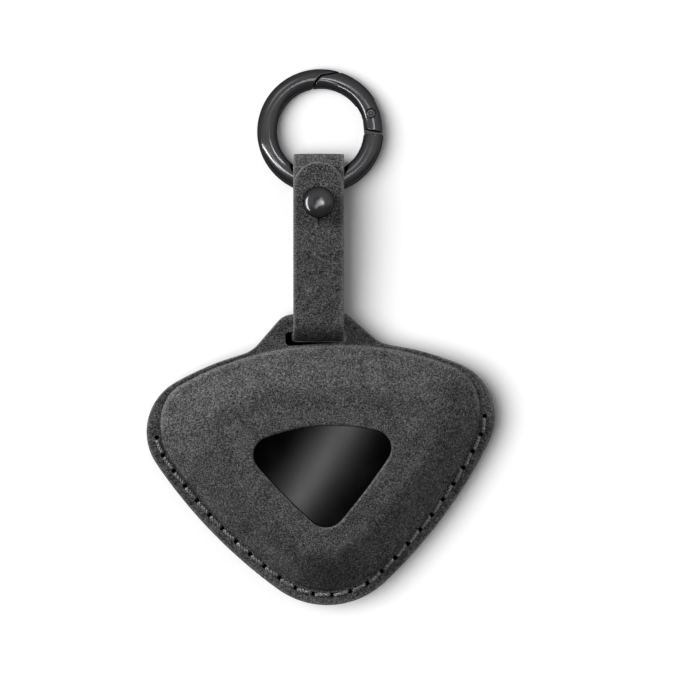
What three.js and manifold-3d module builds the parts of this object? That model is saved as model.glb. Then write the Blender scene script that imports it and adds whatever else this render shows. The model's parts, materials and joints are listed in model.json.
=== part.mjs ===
// Suede cover for a car key fob: a moulded two-panel pouch, a buttoned strap and a spring-gate ring.
// Millimetres. The pouch lies on its flat back at z = 0, +Z is the front face, +Y points to the ring.
import * as THREE from "three";
import { mergeVertices } from "three/addons/utils/BufferGeometryUtils.js";
import Module from "manifold-3d";

const wasm = await Module();
wasm.setup();

// Pouch outline, shared by both panels: a triangle with round corners and bowed sides, tip down
const CORNER_SPAN = 27.8; // corner arc centres, each side of the centre line
const CORNER_RISE = 9.9; // corner arc centres above the origin
const CORNER_R = 13.5;
const TIP_DROP = 13.1; // tip arc centre below the origin
const TIP_R = 19.9;
const TOP_BOW = 78;
const SIDE_BOW = 119;

// Shoulder, where the moulded slope meets the flat top of the dome
const SHOULDER_SPAN = 17.5;
const SHOULDER_RISE = 6.5;
const SHOULDER_R = 7;
const SHOULDER_TIP_DROP = 10.8;
const SHOULDER_TIP_R = 7;
const SHOULDER_TOP_BOW = 60;
const SHOULDER_SIDE_BOW = 120;

// Window in the front panel
const WINDOW_SPAN = 12.1;
const WINDOW_RISE = 3.6;
const WINDOW_R = 4.2;
const WINDOW_TIP_DROP = 9.5;
const WINDOW_TIP_R = 4.8;
const WINDOW_TOP_BOW = 45;
const WINDOW_SIDE_BOW = 150;

// Layers of the pouch
const LEATHER = 1.4;
const LINING = 0.5;
const GLUE_LINE = 0.15; // between a panel and its lining
const FOB_FIT = 0.3; // play of the fob in the lining
const FRONT_RISE = 6.8; // flange to shoulder on the front
const BACK_RISE = 3.6; // flange to flat base on the back
const CROWN = 0.3; // shoulder to window edge
const SLOPE_EASE = 0.4; // share of the moulded slope that is straight before it rounds over
const NEST_LEAN = 0.4; // how far a nested skin steps in for each millimetre of depth
const LINING_RIM = 0.25; // linings stop this far short of the seam plane
const LINING_SETBACK = 0.6; // the lining's window is this much wider than the panel's

// Flange: wide along the stitched sides, narrow along the mouth
const SEAM_FLANGE = 3.5;
const MOUTH_FLANGE = 1;
const FLANGE_NARROW_FROM = 15; // degrees from straight up
const FLANGE_WIDE_FROM = 95;

// Lockstitch seam along the two lower sides
const SEAM_END = 93; // degrees from straight up, direction of the edge where the seam stops
const STITCH_INSET = 2.4;
const STITCH_PITCH = 4.5;
const THREAD_D = 0.56;
const THREAD_LIE = 0.1; // thread above the leather between holes
const THREAD_DIP = 0.55; // thread below the surface in a hole
const HOLE_LENGTH = 2;
const HOLE_WIDTH = 1;
const HOLE_LIP = 0.25; // the thread turns down this far inside the end of its hole

// Lug at the mouth of both panels, with a slot that leaves a bar for the strap
const LUG_TOP = 36.75;
const LUG_TOP_HALF = 7.3;
const LUG_TOP_CROWN = 0.6;
const LUG_TOP_R = 25;
const LUG_SHOULDER_R = 5;
const LUG_BASE_HALF = 15.1;
const LUG_ROOT_R = 8;
const BAR_WIDTH = 4.65;
const SLOT_SIDE_PLAY = 1.5;
const SLOT_PLAY = 0.55;
const SLOT_R = 0.9;

// Key fob carried in the pouch
const FOB_RIM = 0.5; // straight wall each side of the fob's parting plane
const PLATE_T = 1;
const PLATE_MARGIN = 1.1; // plate beyond the window edge
const PLATE_FIT = 0.3;

// Strap: one strip, folded round the bar and over the ring, with its tail buttoned on the stud
const STRAP_WIDTH = 12;
const STRAP_T = 1.2;
const STRAP_LAYER_GAP = 0.15;
const STRAP_LEAN = 3.75; // degrees the strap hangs off the pouch's centre line
const STRAP_SHIFT = 1.15; // strap centre on the bar, off the centre line
const BAR_EYE_R = 3.75; // inside of the fold round the bar
const RING_EYE_PLAY = 0.2; // inside of the fold over the ring, beyond the turning ring
const RING_EYE_SLACK = 1.2; // straight stretch of that fold
const STRAP_TAIL = 37.4; // end of the tail from the bar
const STRAP_HEM = 22.3; // end of the under layer from the bar
const STRAP_STEP = 4; // the tail drops to the bar this far past the hem
const STRAP_STEP_R = 30;

// Button stud through the tail and the under layer
const STUD_FROM_BAR = 27.8;
const STUD_NECK_R = 1.6;
const STUD_HEAD_R = 3.7;
const STUD_HEAD_H = 2.9;
const STUD_HEAD_LIP = 0.9; // underside of the head up to its widest
const STUD_TOP_FLAT_R = 1.1;
const STUD_SEAT = 0.1;
const STUD_HOLE_PLAY = 0.3;
const KEY_SLIT = 5.3; // keyhole slit, from the stud's centre
const KEY_SLIT_WIDTH = 0.5;
const SCREW_HEAD_R = 2.6;
const SCREW_HEAD_T = 1;
const SCREW_SHANK_R = 0.8;
const SCREW_LENGTH = 2.2;
const SCREW_FIT = 0.15;
const SCREW_END_PLAY = 0.4;

// Spring-gate ring
const RING_R = 15;
const RING_BAND = 4.7;
const RING_T = 3.8;
const RING_EDGE_R = 1.5;
const RING_TO_STUD = 0.65;
const RING_SLIDE = 0.35; // ring off the strap's centre line
const LAP_NOSE_ANGLE = 72.5;
const LAP_STEP_ANGLE = 89.7;
const LAP_TIP_ANGLE = 100.5;
const LAP_STEP_DEPTH = 1.5;
const LAP_STEP_R = 1.2;
const LAP_GAP = 0.5;
const HEEL_ANGLE = -2;
const HEEL_RELIEF = 0.7; // the heel is cut back at its inner corner, to turn
const HEEL_GAP = 0.5;
const PIN_ANGLE = 18.5;
const PIN_R = 1.1;
const PIN_FIT = 0.15;
const PIN_PROUD = 0.05;
const KNUCKLE_R = 2.2;
const TONGUE_T = 1.4;
const TONGUE_SIDE_PLAY = 0.25;
const TONGUE_WIDTH = 3.6;
const TONGUE_ROOT = 1.5; // the tongue starts this far inside the heel
const FORK_PLAY = 0.9; // end of the fork beyond the knuckle

// Gate spring, a small coil between the knuckle and the end of its bore
const SPRING_R = 0.62;
const SPRING_WIRE = 0.28;
const SPRING_TURNS = 5;
const SPRING_LENGTH = 3.9;
const SPRING_FIT = 0.25;
const SPRING_OFFSET = 0.9; // towards the ring's centre, so that it presses the gate shut

// Facets
const SIDE_STEPS = 7;
const CORNER_STEPS = 8;
const SEAM_DETAIL = 12;
const SLOPE_STEPS = 6;
const NESTED_STEPS = 3;
const RING_SEGMENTS = 60;
const ROUND_SEGMENTS = 20;
const TUBE_SIDES = 5;
const STEPS_PER_TURN = 8;
const HOLE_SEGMENTS = 4;
const LUG_FOOT_STEPS = 8;
const DOME_STEPS = 4;
const SEAM_SAMPLES = 4; // length samples for each point of the seam
const ARC_STEP = Math.PI / 12;
const RING_EDGE_STEP = Math.PI / 6;

// Working tolerances
const WELD = 1e-5; // corners closer than this are one
const SAME_POINT = 1e-4; // path points closer than this are one
const OVERCUT = 1; // cutting tools run this far past what they cut

const { degToRad, lerp, smoothstep, euclideanModulo } = THREE.MathUtils;
const UP = Math.PI / 2;

// Derived places
const SEAM_Z = LEATHER + BACK_RISE;
const FRONT = { side: 1, rise: FRONT_RISE };
const BACK = { side: -1, rise: BACK_RISE };
const LINING_DEPTH = LEATHER + GLUE_LINE;
const FOB_DEPTH = LINING_DEPTH + LINING + FOB_FIT;
const BAR_Y = LUG_TOP - BAR_WIDTH / 2;
const THREAD_R = THREAD_D / 2;
const RING_IN = RING_R - RING_BAND;
const RING_MID = RING_R - RING_BAND / 2;

// Plain vectors

function polar(radius, degrees) {
  const a = degToRad(degrees);
  return new THREE.Vector2(radius * Math.cos(a), radius * Math.sin(a));
}

function angleFrom(centre, point) {
  return Math.atan2(point.y - centre.y, point.x - centre.x);
}

// Solids: a closed mesh in, a solid out, and back again

function toSolid(geometry) {
  const bare = geometry.index ? geometry.toNonIndexed() : geometry.clone();
  bare.deleteAttribute("normal");
  bare.deleteAttribute("uv");
  const merged = mergeVertices(bare, WELD);
  const corners = merged.index.array;
  const triangles = [];
  for (let i = 0; i < corners.length; i += 3) {
    const [a, b, c] = corners.slice(i, i + 3);
    if (a !== b && b !== c && c !== a) triangles.push(a, b, c);
  }
  const mesh = new wasm.Mesh({
    numProp: 3,
    vertProperties: new Float32Array(merged.attributes.position.array),
    triVerts: new Uint32Array(triangles),
  });
  return new wasm.Manifold(mesh);
}

function toGeometry(solid) {
  const { vertProperties, triVerts } = solid.getMesh();
  const geometry = new THREE.BufferGeometry();
  geometry.setAttribute("position", new THREE.BufferAttribute(vertProperties, 3));
  geometry.setIndex(new THREE.BufferAttribute(triVerts, 1));
  return geometry;
}

function cut(body, ...tools) {
  return tools.reduce((left, tool) => left.subtract(tool), body);
}

// A flat outline raised from one height to another
function prism(points, bottom, top) {
  const geometry = new THREE.ExtrudeGeometry(new THREE.Shape(points), {
    depth: top - bottom,
    bevelEnabled: false,
  });
  return toSolid(geometry.translate(0, 0, bottom));
}

// A round bar standing on the XY plane at a point
function roundBar(at, radius, bottom, top) {
  const geometry = new THREE.CylinderGeometry(radius, radius, top - bottom, ROUND_SEGMENTS);
  geometry.rotateX(UP);
  return toSolid(geometry.translate(at.x, at.y, (bottom + top) / 2));
}

// A profile of [radius, height] pairs turned about +Z
function turned(profile, segments) {
  const points = profile.map(([radius, height]) => new THREE.Vector2(radius, height));
  return toSolid(new THREE.LatheGeometry(points, segments).rotateX(UP));
}

// Rings of points skinned one to the next, either closed on itself or capped at both ends
function loft(rings, closed) {
  const count = rings[0].length;
  const flat = rings.flat();
  const triangles = [];
  const spans = closed ? rings.length : rings.length - 1;
  for (let j = 0; j < spans; j++) {
    const here = j * count;
    const next = ((j + 1) % rings.length) * count;
    for (let i = 0; i < count; i++) {
      const k = (i + 1) % count;
      triangles.push(here + i, here + k, next + k, here + i, next + k, next + i);
    }
  }
  if (!closed) {
    const last = (rings.length - 1) * count;
    for (let i = 1; i < count - 1; i++) {
      triangles.push(0, i + 1, i, last, last + i, last + i + 1);
    }
  }
  if (enclosedVolume(flat, triangles) < 0) triangles.reverse();
  const geometry = new THREE.BufferGeometry().setFromPoints(flat);
  geometry.setIndex(triangles);
  return toSolid(geometry);
}

function enclosedVolume(points, triangles) {
  let total = 0;
  for (let i = 0; i < triangles.length; i += 3) {
    const [a, b, c] = triangles.slice(i, i + 3).map((n) => points[n]);
    total += a.dot(new THREE.Vector3().crossVectors(b, c)) / 6;
  }
  return total;
}

// A round tube along points, with a level side vector at each point
function tube(points, levels, radius, sides) {
  const rings = points.map((point, i) => {
    const before = points[Math.max(i - 1, 0)];
    const after = points[Math.min(i + 1, points.length - 1)];
    const along = new THREE.Vector3().subVectors(after, before).normalize();
    const side = levels[i].clone().addScaledVector(along, -levels[i].dot(along)).normalize();
    const up = new THREE.Vector3().crossVectors(along, side);
    return Array.from({ length: sides }, (_, k) => {
      const a = (2 * Math.PI * k) / sides;
      const spoke = side.clone().multiplyScalar(Math.cos(a)).addScaledVector(up, Math.sin(a));
      return point.clone().addScaledVector(spoke, radius);
    });
  });
  return loft(rings, false);
}

// Paths in a plane

// Each corner { x, y, r } of a path becomes an arc of radius r
function roundCorners(path, closed, step = ARC_STEP) {
  const points = [];
  const count = path.length;
  path.forEach(({ x, y, r }, i) => {
    const here = new THREE.Vector2(x, y);
    const atEnd = !closed && (i === 0 || i === count - 1);
    if (!r || atEnd) {
      points.push(here);
      return;
    }
    const before = path[(i + count - 1) % count];
    const after = path[(i + 1) % count];
    const back = new THREE.Vector2(before.x - x, before.y - y).normalize();
    const on = new THREE.Vector2(after.x - x, after.y - y).normalize();
    const half = Math.acos(back.dot(on)) / 2;
    const reach = r / Math.tan(half);
    const inward = back.clone().add(on).normalize();
    const centre = here.clone().addScaledVector(inward, r / Math.sin(half));
    const start = angleFrom(centre, here.clone().addScaledVector(back, reach));
    const end = angleFrom(centre, here.clone().addScaledVector(on, reach));
    const sweep = euclideanModulo(end - start + Math.PI, 2 * Math.PI) - Math.PI;
    const steps = Math.max(2, Math.ceil(Math.abs(sweep) / step));
    for (let k = 0; k <= steps; k++) {
      const a = start + (sweep * k) / steps;
      points.push(new THREE.Vector2(centre.x + r * Math.cos(a), centre.y + r * Math.sin(a)));
    }
  });
  return points.filter((point, i) => i === 0 || point.distanceTo(points[i - 1]) > SAME_POINT);
}

// The point as far past one end of a line as the line is long
function beyond(from, to) {
  return to.clone().multiplyScalar(2).sub(from);
}

// A path moved sideways, to its left for a positive distance
function offsetPath(points, distance) {
  return points.map((point, i) => {
    const normals = [];
    if (i > 0) normals.push(leftOf(points[i - 1], point));
    if (i < points.length - 1) normals.push(leftOf(point, points[i + 1]));
    const mean = normals.reduce((sum, n) => sum.add(n), new THREE.Vector2()).normalize();
    return point.clone().addScaledVector(mean, distance / mean.dot(normals[0]));
  });
}

function leftOf(from, to) {
  return new THREE.Vector2(from.y - to.y, to.x - from.x).normalize();
}

// Pouch outlines

// The centre of a bowed side that touches both corner arcs from inside
function bowCentre(from, to, bow) {
  const reachFrom = bow - from.r;
  const reachTo = bow - to.r;
  const line = new THREE.Vector2().subVectors(to.at, from.at);
  const gap = line.length();
  line.normalize();
  const inward = new THREE.Vector2(-line.y, line.x);
  const along = (reachFrom ** 2 - reachTo ** 2 + gap ** 2) / (2 * gap);
  const across = Math.sqrt(reachFrom ** 2 - along ** 2);
  return from.at.clone().addScaledVector(line, along).addScaledVector(inward, across);
}

// Stations { at, r, a } round the triangle: an inset outline keeps the centres and shortens the radii
function roundedTriangle({ span, rise, cornerR, tipDrop, tipR, topBow, sideBow }, detail) {
  const corners = [
    { at: new THREE.Vector2(span, rise), r: cornerR, bow: topBow },
    { at: new THREE.Vector2(-span, rise), r: cornerR, bow: sideBow },
    { at: new THREE.Vector2(0, -tipDrop), r: tipR, bow: sideBow },
  ];
  const sides = corners.map((from, i) => {
    const to = corners[(i + 1) % 3];
    const at = bowCentre(from, to, from.bow);
    return { at, r: from.bow, to, start: angleFrom(at, from.at), end: angleFrom(at, to.at) };
  });
  return sides.flatMap((side, i) => [
    ...arcStations(side.at, side.r, side.start, side.end, SIDE_STEPS * detail),
    ...arcStations(side.to.at, side.to.r, side.end, sides[(i + 1) % 3].start, CORNER_STEPS * detail),
  ]);
}

function arcStations(at, r, start, end, steps) {
  const sweep = euclideanModulo(end - start, 2 * Math.PI);
  return Array.from({ length: steps }, (_, k) => ({ at, r, a: start + (sweep * k) / steps }));
}

function stationPoint({ at, r, a }, inset, z) {
  const reach = r - inset;
  return new THREE.Vector3(at.x + reach * Math.cos(a), at.y + reach * Math.sin(a), z);
}

function outlineRing(stations, inset, z) {
  return stations.map((station) => stationPoint(station, inset, z));
}

const outlineShape = {
  span: CORNER_SPAN,
  rise: CORNER_RISE,
  cornerR: CORNER_R,
  tipDrop: TIP_DROP,
  tipR: TIP_R,
  topBow: TOP_BOW,
  sideBow: SIDE_BOW,
};
const outline = roundedTriangle(outlineShape, 1);
const shoulder = roundedTriangle(
  {
    span: SHOULDER_SPAN,
    rise: SHOULDER_RISE,
    cornerR: SHOULDER_R,
    tipDrop: SHOULDER_TIP_DROP,
    tipR: SHOULDER_TIP_R,
    topBow: SHOULDER_TOP_BOW,
    sideBow: SHOULDER_SIDE_BOW,
  },
  1,
);
const windowEdge = roundedTriangle(
  {
    span: WINDOW_SPAN,
    rise: WINDOW_RISE,
    cornerR: WINDOW_R,
    tipDrop: WINDOW_TIP_DROP,
    tipR: WINDOW_TIP_R,
    topBow: WINDOW_TOP_BOW,
    sideBow: WINDOW_SIDE_BOW,
  },
  1,
);

// Degrees between an edge direction and straight up
function fromTop(a) {
  const turn = euclideanModulo(a - UP + Math.PI, 2 * Math.PI) - Math.PI;
  return Math.abs(THREE.MathUtils.radToDeg(turn));
}

function flangeWidth(a) {
  const share = smoothstep(fromTop(a), FLANGE_NARROW_FROM, FLANGE_WIDE_FROM);
  return lerp(MOUTH_FLANGE, SEAM_FLANGE, share);
}

// Moulded dome: skins nested at a depth below the panel's outer face

const STRAIGHT_SHARE = (1 + SLOPE_EASE) / 2; // where the straight stretch would reach the full rise

// Share of the rise: straight at first, then rounding over to level at t = 1
function swell(t) {
  const u = Math.max(t - SLOPE_EASE, 0) / (1 - SLOPE_EASE);
  const rounding = (1 - SLOPE_EASE) * (u - u ** 3 + u ** 4 / 2);
  return (Math.min(t, SLOPE_EASE) + rounding) / STRAIGHT_SHARE;
}

function domeHeight(half, depth, t) {
  return SEAM_Z + half.side * (LEATHER - depth + half.rise * swell(t));
}

// Where on the straight stretch a nested skin reaches a height above the seam plane
function slopeStart(half, depth, height) {
  return ((depth - LEATHER + height) / half.rise) * STRAIGHT_SHARE;
}

function domeRing(half, depth, t) {
  const step = depth * NEST_LEAN;
  const z = domeHeight(half, depth, t);
  return outline.map((station, i) => {
    const low = stationPoint(station, flangeWidth(station.a) + step, z);
    const high = stationPoint(shoulder[i], step, z);
    return low.lerp(high, t);
  });
}

// Rings up the slope from t = from to the shoulder
function slope(half, depth, from, steps) {
  return Array.from({ length: steps + 1 }, (_, j) => domeRing(half, depth, lerp(from, 1, j / steps)));
}

function topHeight(depth) {
  return domeHeight(FRONT, depth, 1) + CROWN;
}

// Lug and seam, cut alike in both panels

const barEyeOuter = BAR_EYE_R + STRAP_T;

// The lug's foot lies inside the flange and runs a fillet's width past each root
function lugOutline() {
  const footX = LUG_BASE_HALF + LUG_ROOT_R;
  const right = [
    { x: LUG_BASE_HALF, y: outlineHeight(LUG_BASE_HALF, 0), r: LUG_ROOT_R },
    { x: LUG_TOP_HALF, y: LUG_TOP - LUG_TOP_CROWN, r: LUG_SHOULDER_R },
  ];
  const left = right.map(({ x, y, r }) => ({ x: -x, y, r })).reverse();
  const foot = Array.from({ length: LUG_FOOT_STEPS + 1 }, (_, k) => {
    const x = lerp(-footX, footX, k / LUG_FOOT_STEPS);
    return { x, y: outlineHeight(x, MOUTH_FLANGE / 2) };
  });
  return roundCorners([...right, { x: 0, y: LUG_TOP, r: LUG_TOP_R }, ...left, ...foot], true);
}

// Height of the bowed top edge, or of its inset, at a distance from the centre line
function outlineHeight(x, inset) {
  const [{ at, r }] = outline;
  return at.y + Math.sqrt((r - inset) ** 2 - x ** 2);
}

function slotOutline() {
  const half = STRAP_WIDTH / 2 + SLOT_SIDE_PLAY;
  const top = BAR_Y - BAR_WIDTH / 2;
  const bottom = BAR_Y - barEyeOuter - SLOT_PLAY;
  const corners = [
    [half, bottom],
    [half, top],
    [-half, top],
    [-half, bottom],
  ];
  return roundCorners(
    corners.map(([x, y]) => ({ x, y, r: SLOT_R })),
    true,
  );
}

const seamPoints = roundedTriangle(outlineShape, SEAM_DETAIL)
  .filter(({ a }) => fromTop(a) >= SEAM_END)
  .map((station) => stationPoint(station, STITCH_INSET, 0));
const seam = new THREE.CatmullRomCurve3(seamPoints);
seam.arcLengthDivisions = seamPoints.length * SEAM_SAMPLES;
const stitches = Math.round(seam.getLength() / STITCH_PITCH);
const stitchLength = seam.getLength() / stitches;

function seamHoles(bottom, top) {
  const oval = new THREE.Shape().absellipse(0, 0, HOLE_LENGTH / 2, HOLE_WIDTH / 2, 0, 2 * Math.PI);
  return Array.from({ length: stitches + 1 }, (_, i) => {
    const at = seam.getPointAt(i / stitches);
    const along = seam.getTangentAt(i / stitches);
    const geometry = new THREE.ExtrudeGeometry(oval, {
      depth: top - bottom,
      bevelEnabled: false,
      curveSegments: HOLE_SEGMENTS,
    });
    geometry.rotateZ(Math.atan2(along.y, along.x));
    return toSolid(geometry.translate(at.x, at.y, bottom));
  });
}

function finishPanel(shell, bottom, top) {
  const lugged = shell.add(prism(lugOutline(), bottom, top));
  const slot = prism(slotOutline(), bottom - LEATHER, top + LEATHER);
  return toGeometry(cut(lugged, slot, ...seamHoles(bottom - LEATHER, top + LEATHER)));
}

// Pouch pieces

function frontPanel() {
  const flangeTop = SEAM_Z + LEATHER;
  const shell = loft(
    [
      outlineRing(outline, 0, flangeTop),
      ...slope(FRONT, 0, 0, SLOPE_STEPS),
      outlineRing(windowEdge, 0, topHeight(0)),
      outlineRing(windowEdge, 0, topHeight(LEATHER)),
      ...slope(FRONT, LEATHER, 0, SLOPE_STEPS).reverse(),
      outlineRing(outline, 0, SEAM_Z),
    ],
    true,
  );
  return finishPanel(shell, SEAM_Z, flangeTop);
}

function backPanel() {
  const flangeBottom = SEAM_Z - LEATHER;
  const shell = loft(
    [
      ...slope(BACK, 0, 0, SLOPE_STEPS).reverse(),
      outlineRing(outline, 0, flangeBottom),
      outlineRing(outline, 0, SEAM_Z),
      ...slope(BACK, LEATHER, 0, SLOPE_STEPS),
    ],
    false,
  );
  return finishPanel(shell, flangeBottom, SEAM_Z);
}

function liningSkin(half, depth) {
  return slope(half, depth, slopeStart(half, depth, LINING_RIM), NESTED_STEPS);
}

function frontLining() {
  const inner = LINING_DEPTH + LINING;
  const rings = [
    ...liningSkin(FRONT, LINING_DEPTH),
    outlineRing(windowEdge, -LINING_SETBACK, topHeight(LINING_DEPTH)),
    outlineRing(windowEdge, -LINING_SETBACK, topHeight(inner)),
    ...liningSkin(FRONT, inner).reverse(),
  ];
  return toGeometry(loft(rings, true));
}

function backLining() {
  const inner = LINING_DEPTH + LINING;
  const rings = [...liningSkin(BACK, LINING_DEPTH).reverse(), ...liningSkin(BACK, inner)];
  return toGeometry(loft(rings, false));
}

// One continuous thread: it lies on the flange and dips into each hole
function seamThread(half) {
  const surface = SEAM_Z + half.side * LEATHER;
  const lie = surface + half.side * (THREAD_R + THREAD_LIE);
  const dip = surface - half.side * THREAD_DIP;
  const turn = (HOLE_LENGTH / 2 - HOLE_LIP) / stitchLength;
  const path = [];
  for (let i = 0; i <= stitches; i++) {
    if (i > 0) path.push([i - turn, lie]);
    path.push([i, dip]);
    if (i < stitches) path.push([i + turn, lie], [i + 0.5, lie]);
  }
  const points = path.map(([at, z]) => seam.getPointAt(at / stitches).setZ(z));
  const levels = path.map(([at]) => {
    const along = seam.getTangentAt(at / stitches);
    return new THREE.Vector3(-along.y, along.x, 0);
  });
  return toGeometry(tube(points, levels, THREAD_R, TUBE_SIDES));
}

// Fob pieces: two half shells that part on the seam plane, and the gloss plate under the window

const fobRim = Math.max(slopeStart(FRONT, FOB_DEPTH, FOB_RIM), slopeStart(BACK, FOB_DEPTH, FOB_RIM));
const plateTop = topHeight(FOB_DEPTH);
const plateSeat = plateTop - PLATE_T;

function fobHalf(half) {
  const skin = slope(half, FOB_DEPTH, fobRim, NESTED_STEPS);
  const parting = skin[0].map((point) => point.clone().setZ(SEAM_Z));
  return [parting, ...skin];
}

function fobFrontShell() {
  const recess = -PLATE_MARGIN - PLATE_FIT;
  const rings = [
    ...fobHalf(FRONT),
    outlineRing(windowEdge, recess, plateTop),
    outlineRing(windowEdge, recess, plateSeat),
  ];
  return toGeometry(loft(rings, false));
}

function fobRearShell() {
  return toGeometry(loft(fobHalf(BACK), false));
}

function fobFacePlate() {
  const rings = [plateSeat, plateTop].map((z) => outlineRing(windowEdge, -PLATE_MARGIN, z));
  return toGeometry(loft(rings, false));
}

// Strap, in its own frame: the bar's centre at the origin, +Y along the strap

// The ring turns in its fold about the middle of the band that the strap covers
const bandNear = RING_BAND / 2;
const bandFar = RING_MID - Math.sqrt(RING_IN ** 2 - (STRAP_WIDTH / 2 + RING_SLIDE) ** 2);
const bandHalf = (bandFar + bandNear) / 2;
const ringPivotShift = (bandFar - bandNear) / 2;
const ringPivot = STUD_FROM_BAR + STUD_NECK_R + RING_TO_STUD + bandHalf;
const bandReach = Math.hypot(bandHalf - RING_EDGE_R, RING_T / 2 - RING_EDGE_R) + RING_EDGE_R;
const ringEyeR = bandReach + RING_EYE_PLAY;

// Heights of the layers' middle planes from the bar's middle
const underLayer = ringEyeR + STRAP_T / 2;
const tailLayer = underLayer + STRAP_T + STRAP_LAYER_GAP;

// A line that touches two circles on one side, as its normal and its distance from the origin
function touchingLine(fromRadius, to, toRadius, side) {
  const along = new THREE.Vector2(to.x, to.y);
  const gap = along.length();
  along.divideScalar(gap);
  const across = new THREE.Vector2(-along.y, along.x).multiplyScalar(side);
  const lean = (fromRadius - toRadius) / gap;
  const normal = along.multiplyScalar(lean).addScaledVector(across, Math.sqrt(1 - lean ** 2));
  return { normal, distance: fromRadius };
}

// The corner where such a line crosses an upright line
function cornerAt({ normal, distance }, x, r) {
  return { x, y: (distance - normal.x * x) / normal.y, r };
}

function strapPath() {
  const barFold = BAR_EYE_R + STRAP_T / 2;
  const foldEnd = { x: ringPivot + RING_EYE_SLACK, y: 0 };
  const ringEnd = foldEnd.x + underLayer;
  const step = { x: STRAP_HEM - STRAP_STEP, y: tailLayer, r: STRAP_STEP_R };
  const front = touchingLine(barFold, step, 0, 1);
  const rear = touchingLine(barFold, foldEnd, underLayer, -1);
  const path = [
    { x: STRAP_TAIL, y: tailLayer },
    step,
    cornerAt(front, -barFold, barFold),
    cornerAt(rear, -barFold, barFold),
    cornerAt(rear, ringEnd, underLayer),
    { x: ringEnd, y: underLayer, r: underLayer },
    { x: STRAP_HEM, y: underLayer },
  ];
  return roundCorners(path, false);
}

// What the tail's round end leaves of a square one
function tailCorners(bottom, top) {
  const half = STRAP_WIDTH / 2;
  const start = STRAP_TAIL - half;
  const blank = [
    [-half - OVERCUT, start],
    [half + OVERCUT, start],
    [half + OVERCUT, STRAP_TAIL + OVERCUT],
    [-half - OVERCUT, STRAP_TAIL + OVERCUT],
  ];
  const square = prism(
    blank.map(([x, y]) => new THREE.Vector2(x, y)),
    bottom,
    top,
  );
  return square.subtract(roundBar({ x: 0, y: start }, half, bottom - OVERCUT, top + OVERCUT));
}

function strap() {
  const path = strapPath();
  const ribbon = [
    ...offsetPath(path, STRAP_T / 2),
    ...offsetPath(path, -STRAP_T / 2).reverse(),
  ];
  const strip = new THREE.ExtrudeGeometry(new THREE.Shape(ribbon), {
    depth: STRAP_WIDTH,
    bevelEnabled: false,
  });
  const sideways = new THREE.Matrix4().makeBasis(
    new THREE.Vector3(0, 1, 0),
    new THREE.Vector3(0, 0, 1),
    new THREE.Vector3(1, 0, 0),
  );
  strip.applyMatrix4(sideways).translate(-STRAP_WIDTH / 2, 0, 0);
  const tailBottom = tailLayer - (STRAP_T + STRAP_LAYER_GAP) / 2;
  const tailTop = tailLayer + STRAP_T;
  const slit = [
    new THREE.Vector2(-KEY_SLIT_WIDTH / 2, STUD_FROM_BAR - KEY_SLIT),
    new THREE.Vector2(KEY_SLIT_WIDTH / 2, STUD_FROM_BAR - KEY_SLIT),
    new THREE.Vector2(KEY_SLIT_WIDTH / 2, STUD_FROM_BAR),
    new THREE.Vector2(-KEY_SLIT_WIDTH / 2, STUD_FROM_BAR),
  ];
  const hole = roundBar(
    { x: 0, y: STUD_FROM_BAR },
    STUD_NECK_R + STUD_HOLE_PLAY,
    underLayer - STRAP_T,
    tailTop,
  );
  return toGeometry(
    cut(toSolid(strip), tailCorners(tailBottom, tailTop), hole, prism(slit, tailBottom, tailTop)),
  );
}

// Stud and screw, turned about the stud's axis with z = 0 at the bar's middle

const studFoot = underLayer - STRAP_T / 2 - STUD_SEAT;
const headFoot = tailLayer + STRAP_T / 2 + STUD_SEAT;

function studHead() {
  const bore = SCREW_SHANK_R + SCREW_FIT;
  const boreEnd = studFoot + SCREW_LENGTH + SCREW_END_PLAY;
  const widest = headFoot + STUD_HEAD_LIP;
  const crown = STUD_HEAD_H - STUD_HEAD_LIP;
  const reach = STUD_HEAD_R - STUD_TOP_FLAT_R;
  const dome = Array.from({ length: DOME_STEPS - 1 }, (_, k) => {
    const a = (UP * (k + 1)) / DOME_STEPS;
    return [STUD_TOP_FLAT_R + reach * Math.cos(a), widest + crown * Math.sin(a)];
  });
  const profile = [
    [0, boreEnd],
    [bore, boreEnd],
    [bore, studFoot],
    [STUD_NECK_R, studFoot],
    [STUD_NECK_R, headFoot],
    [(STUD_NECK_R + STUD_HEAD_R) / 2, headFoot],
    [STUD_HEAD_R, widest],
    ...dome,
    [STUD_TOP_FLAT_R, widest + crown],
    [0, widest + crown],
  ];
  return toGeometry(turned(profile, ROUND_SEGMENTS));
}

function studScrew() {
  const profile = [
    [0, studFoot - SCREW_HEAD_T],
    [SCREW_HEAD_R, studFoot - SCREW_HEAD_T],
    [SCREW_HEAD_R, studFoot],
    [SCREW_SHANK_R, studFoot],
    [SCREW_SHANK_R, studFoot + SCREW_LENGTH],
    [0, studFoot + SCREW_LENGTH],
  ];
  return toGeometry(turned(profile, ROUND_SEGMENTS));
}

// Ring and gate, in the ring's frame: its centre at the origin, flat in the XY plane

const pinAt = polar(RING_MID, PIN_ANGLE);
const pinAlong = polar(1, PIN_ANGLE + 90);
const pinInward = polar(-1, PIN_ANGLE);
const forkHalf = TONGUE_T / 2 + TONGUE_SIDE_PLAY;
const farOut = RING_R * 2;

function ringSolid() {
  const half = { x: RING_BAND / 2, y: RING_T / 2 };
  const section = roundCorners(
    [
      { x: RING_MID - half.x, y: -half.y, r: RING_EDGE_R },
      { x: RING_MID + half.x, y: -half.y, r: RING_EDGE_R },
      { x: RING_MID + half.x, y: half.y, r: RING_EDGE_R },
      { x: RING_MID - half.x, y: half.y, r: RING_EDGE_R },
    ],
    true,
    RING_EDGE_STEP,
  );
  return turned(
    [...section, section[0]].map(({ x, y }) => [x, y]),
    RING_SEGMENTS,
  );
}

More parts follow.
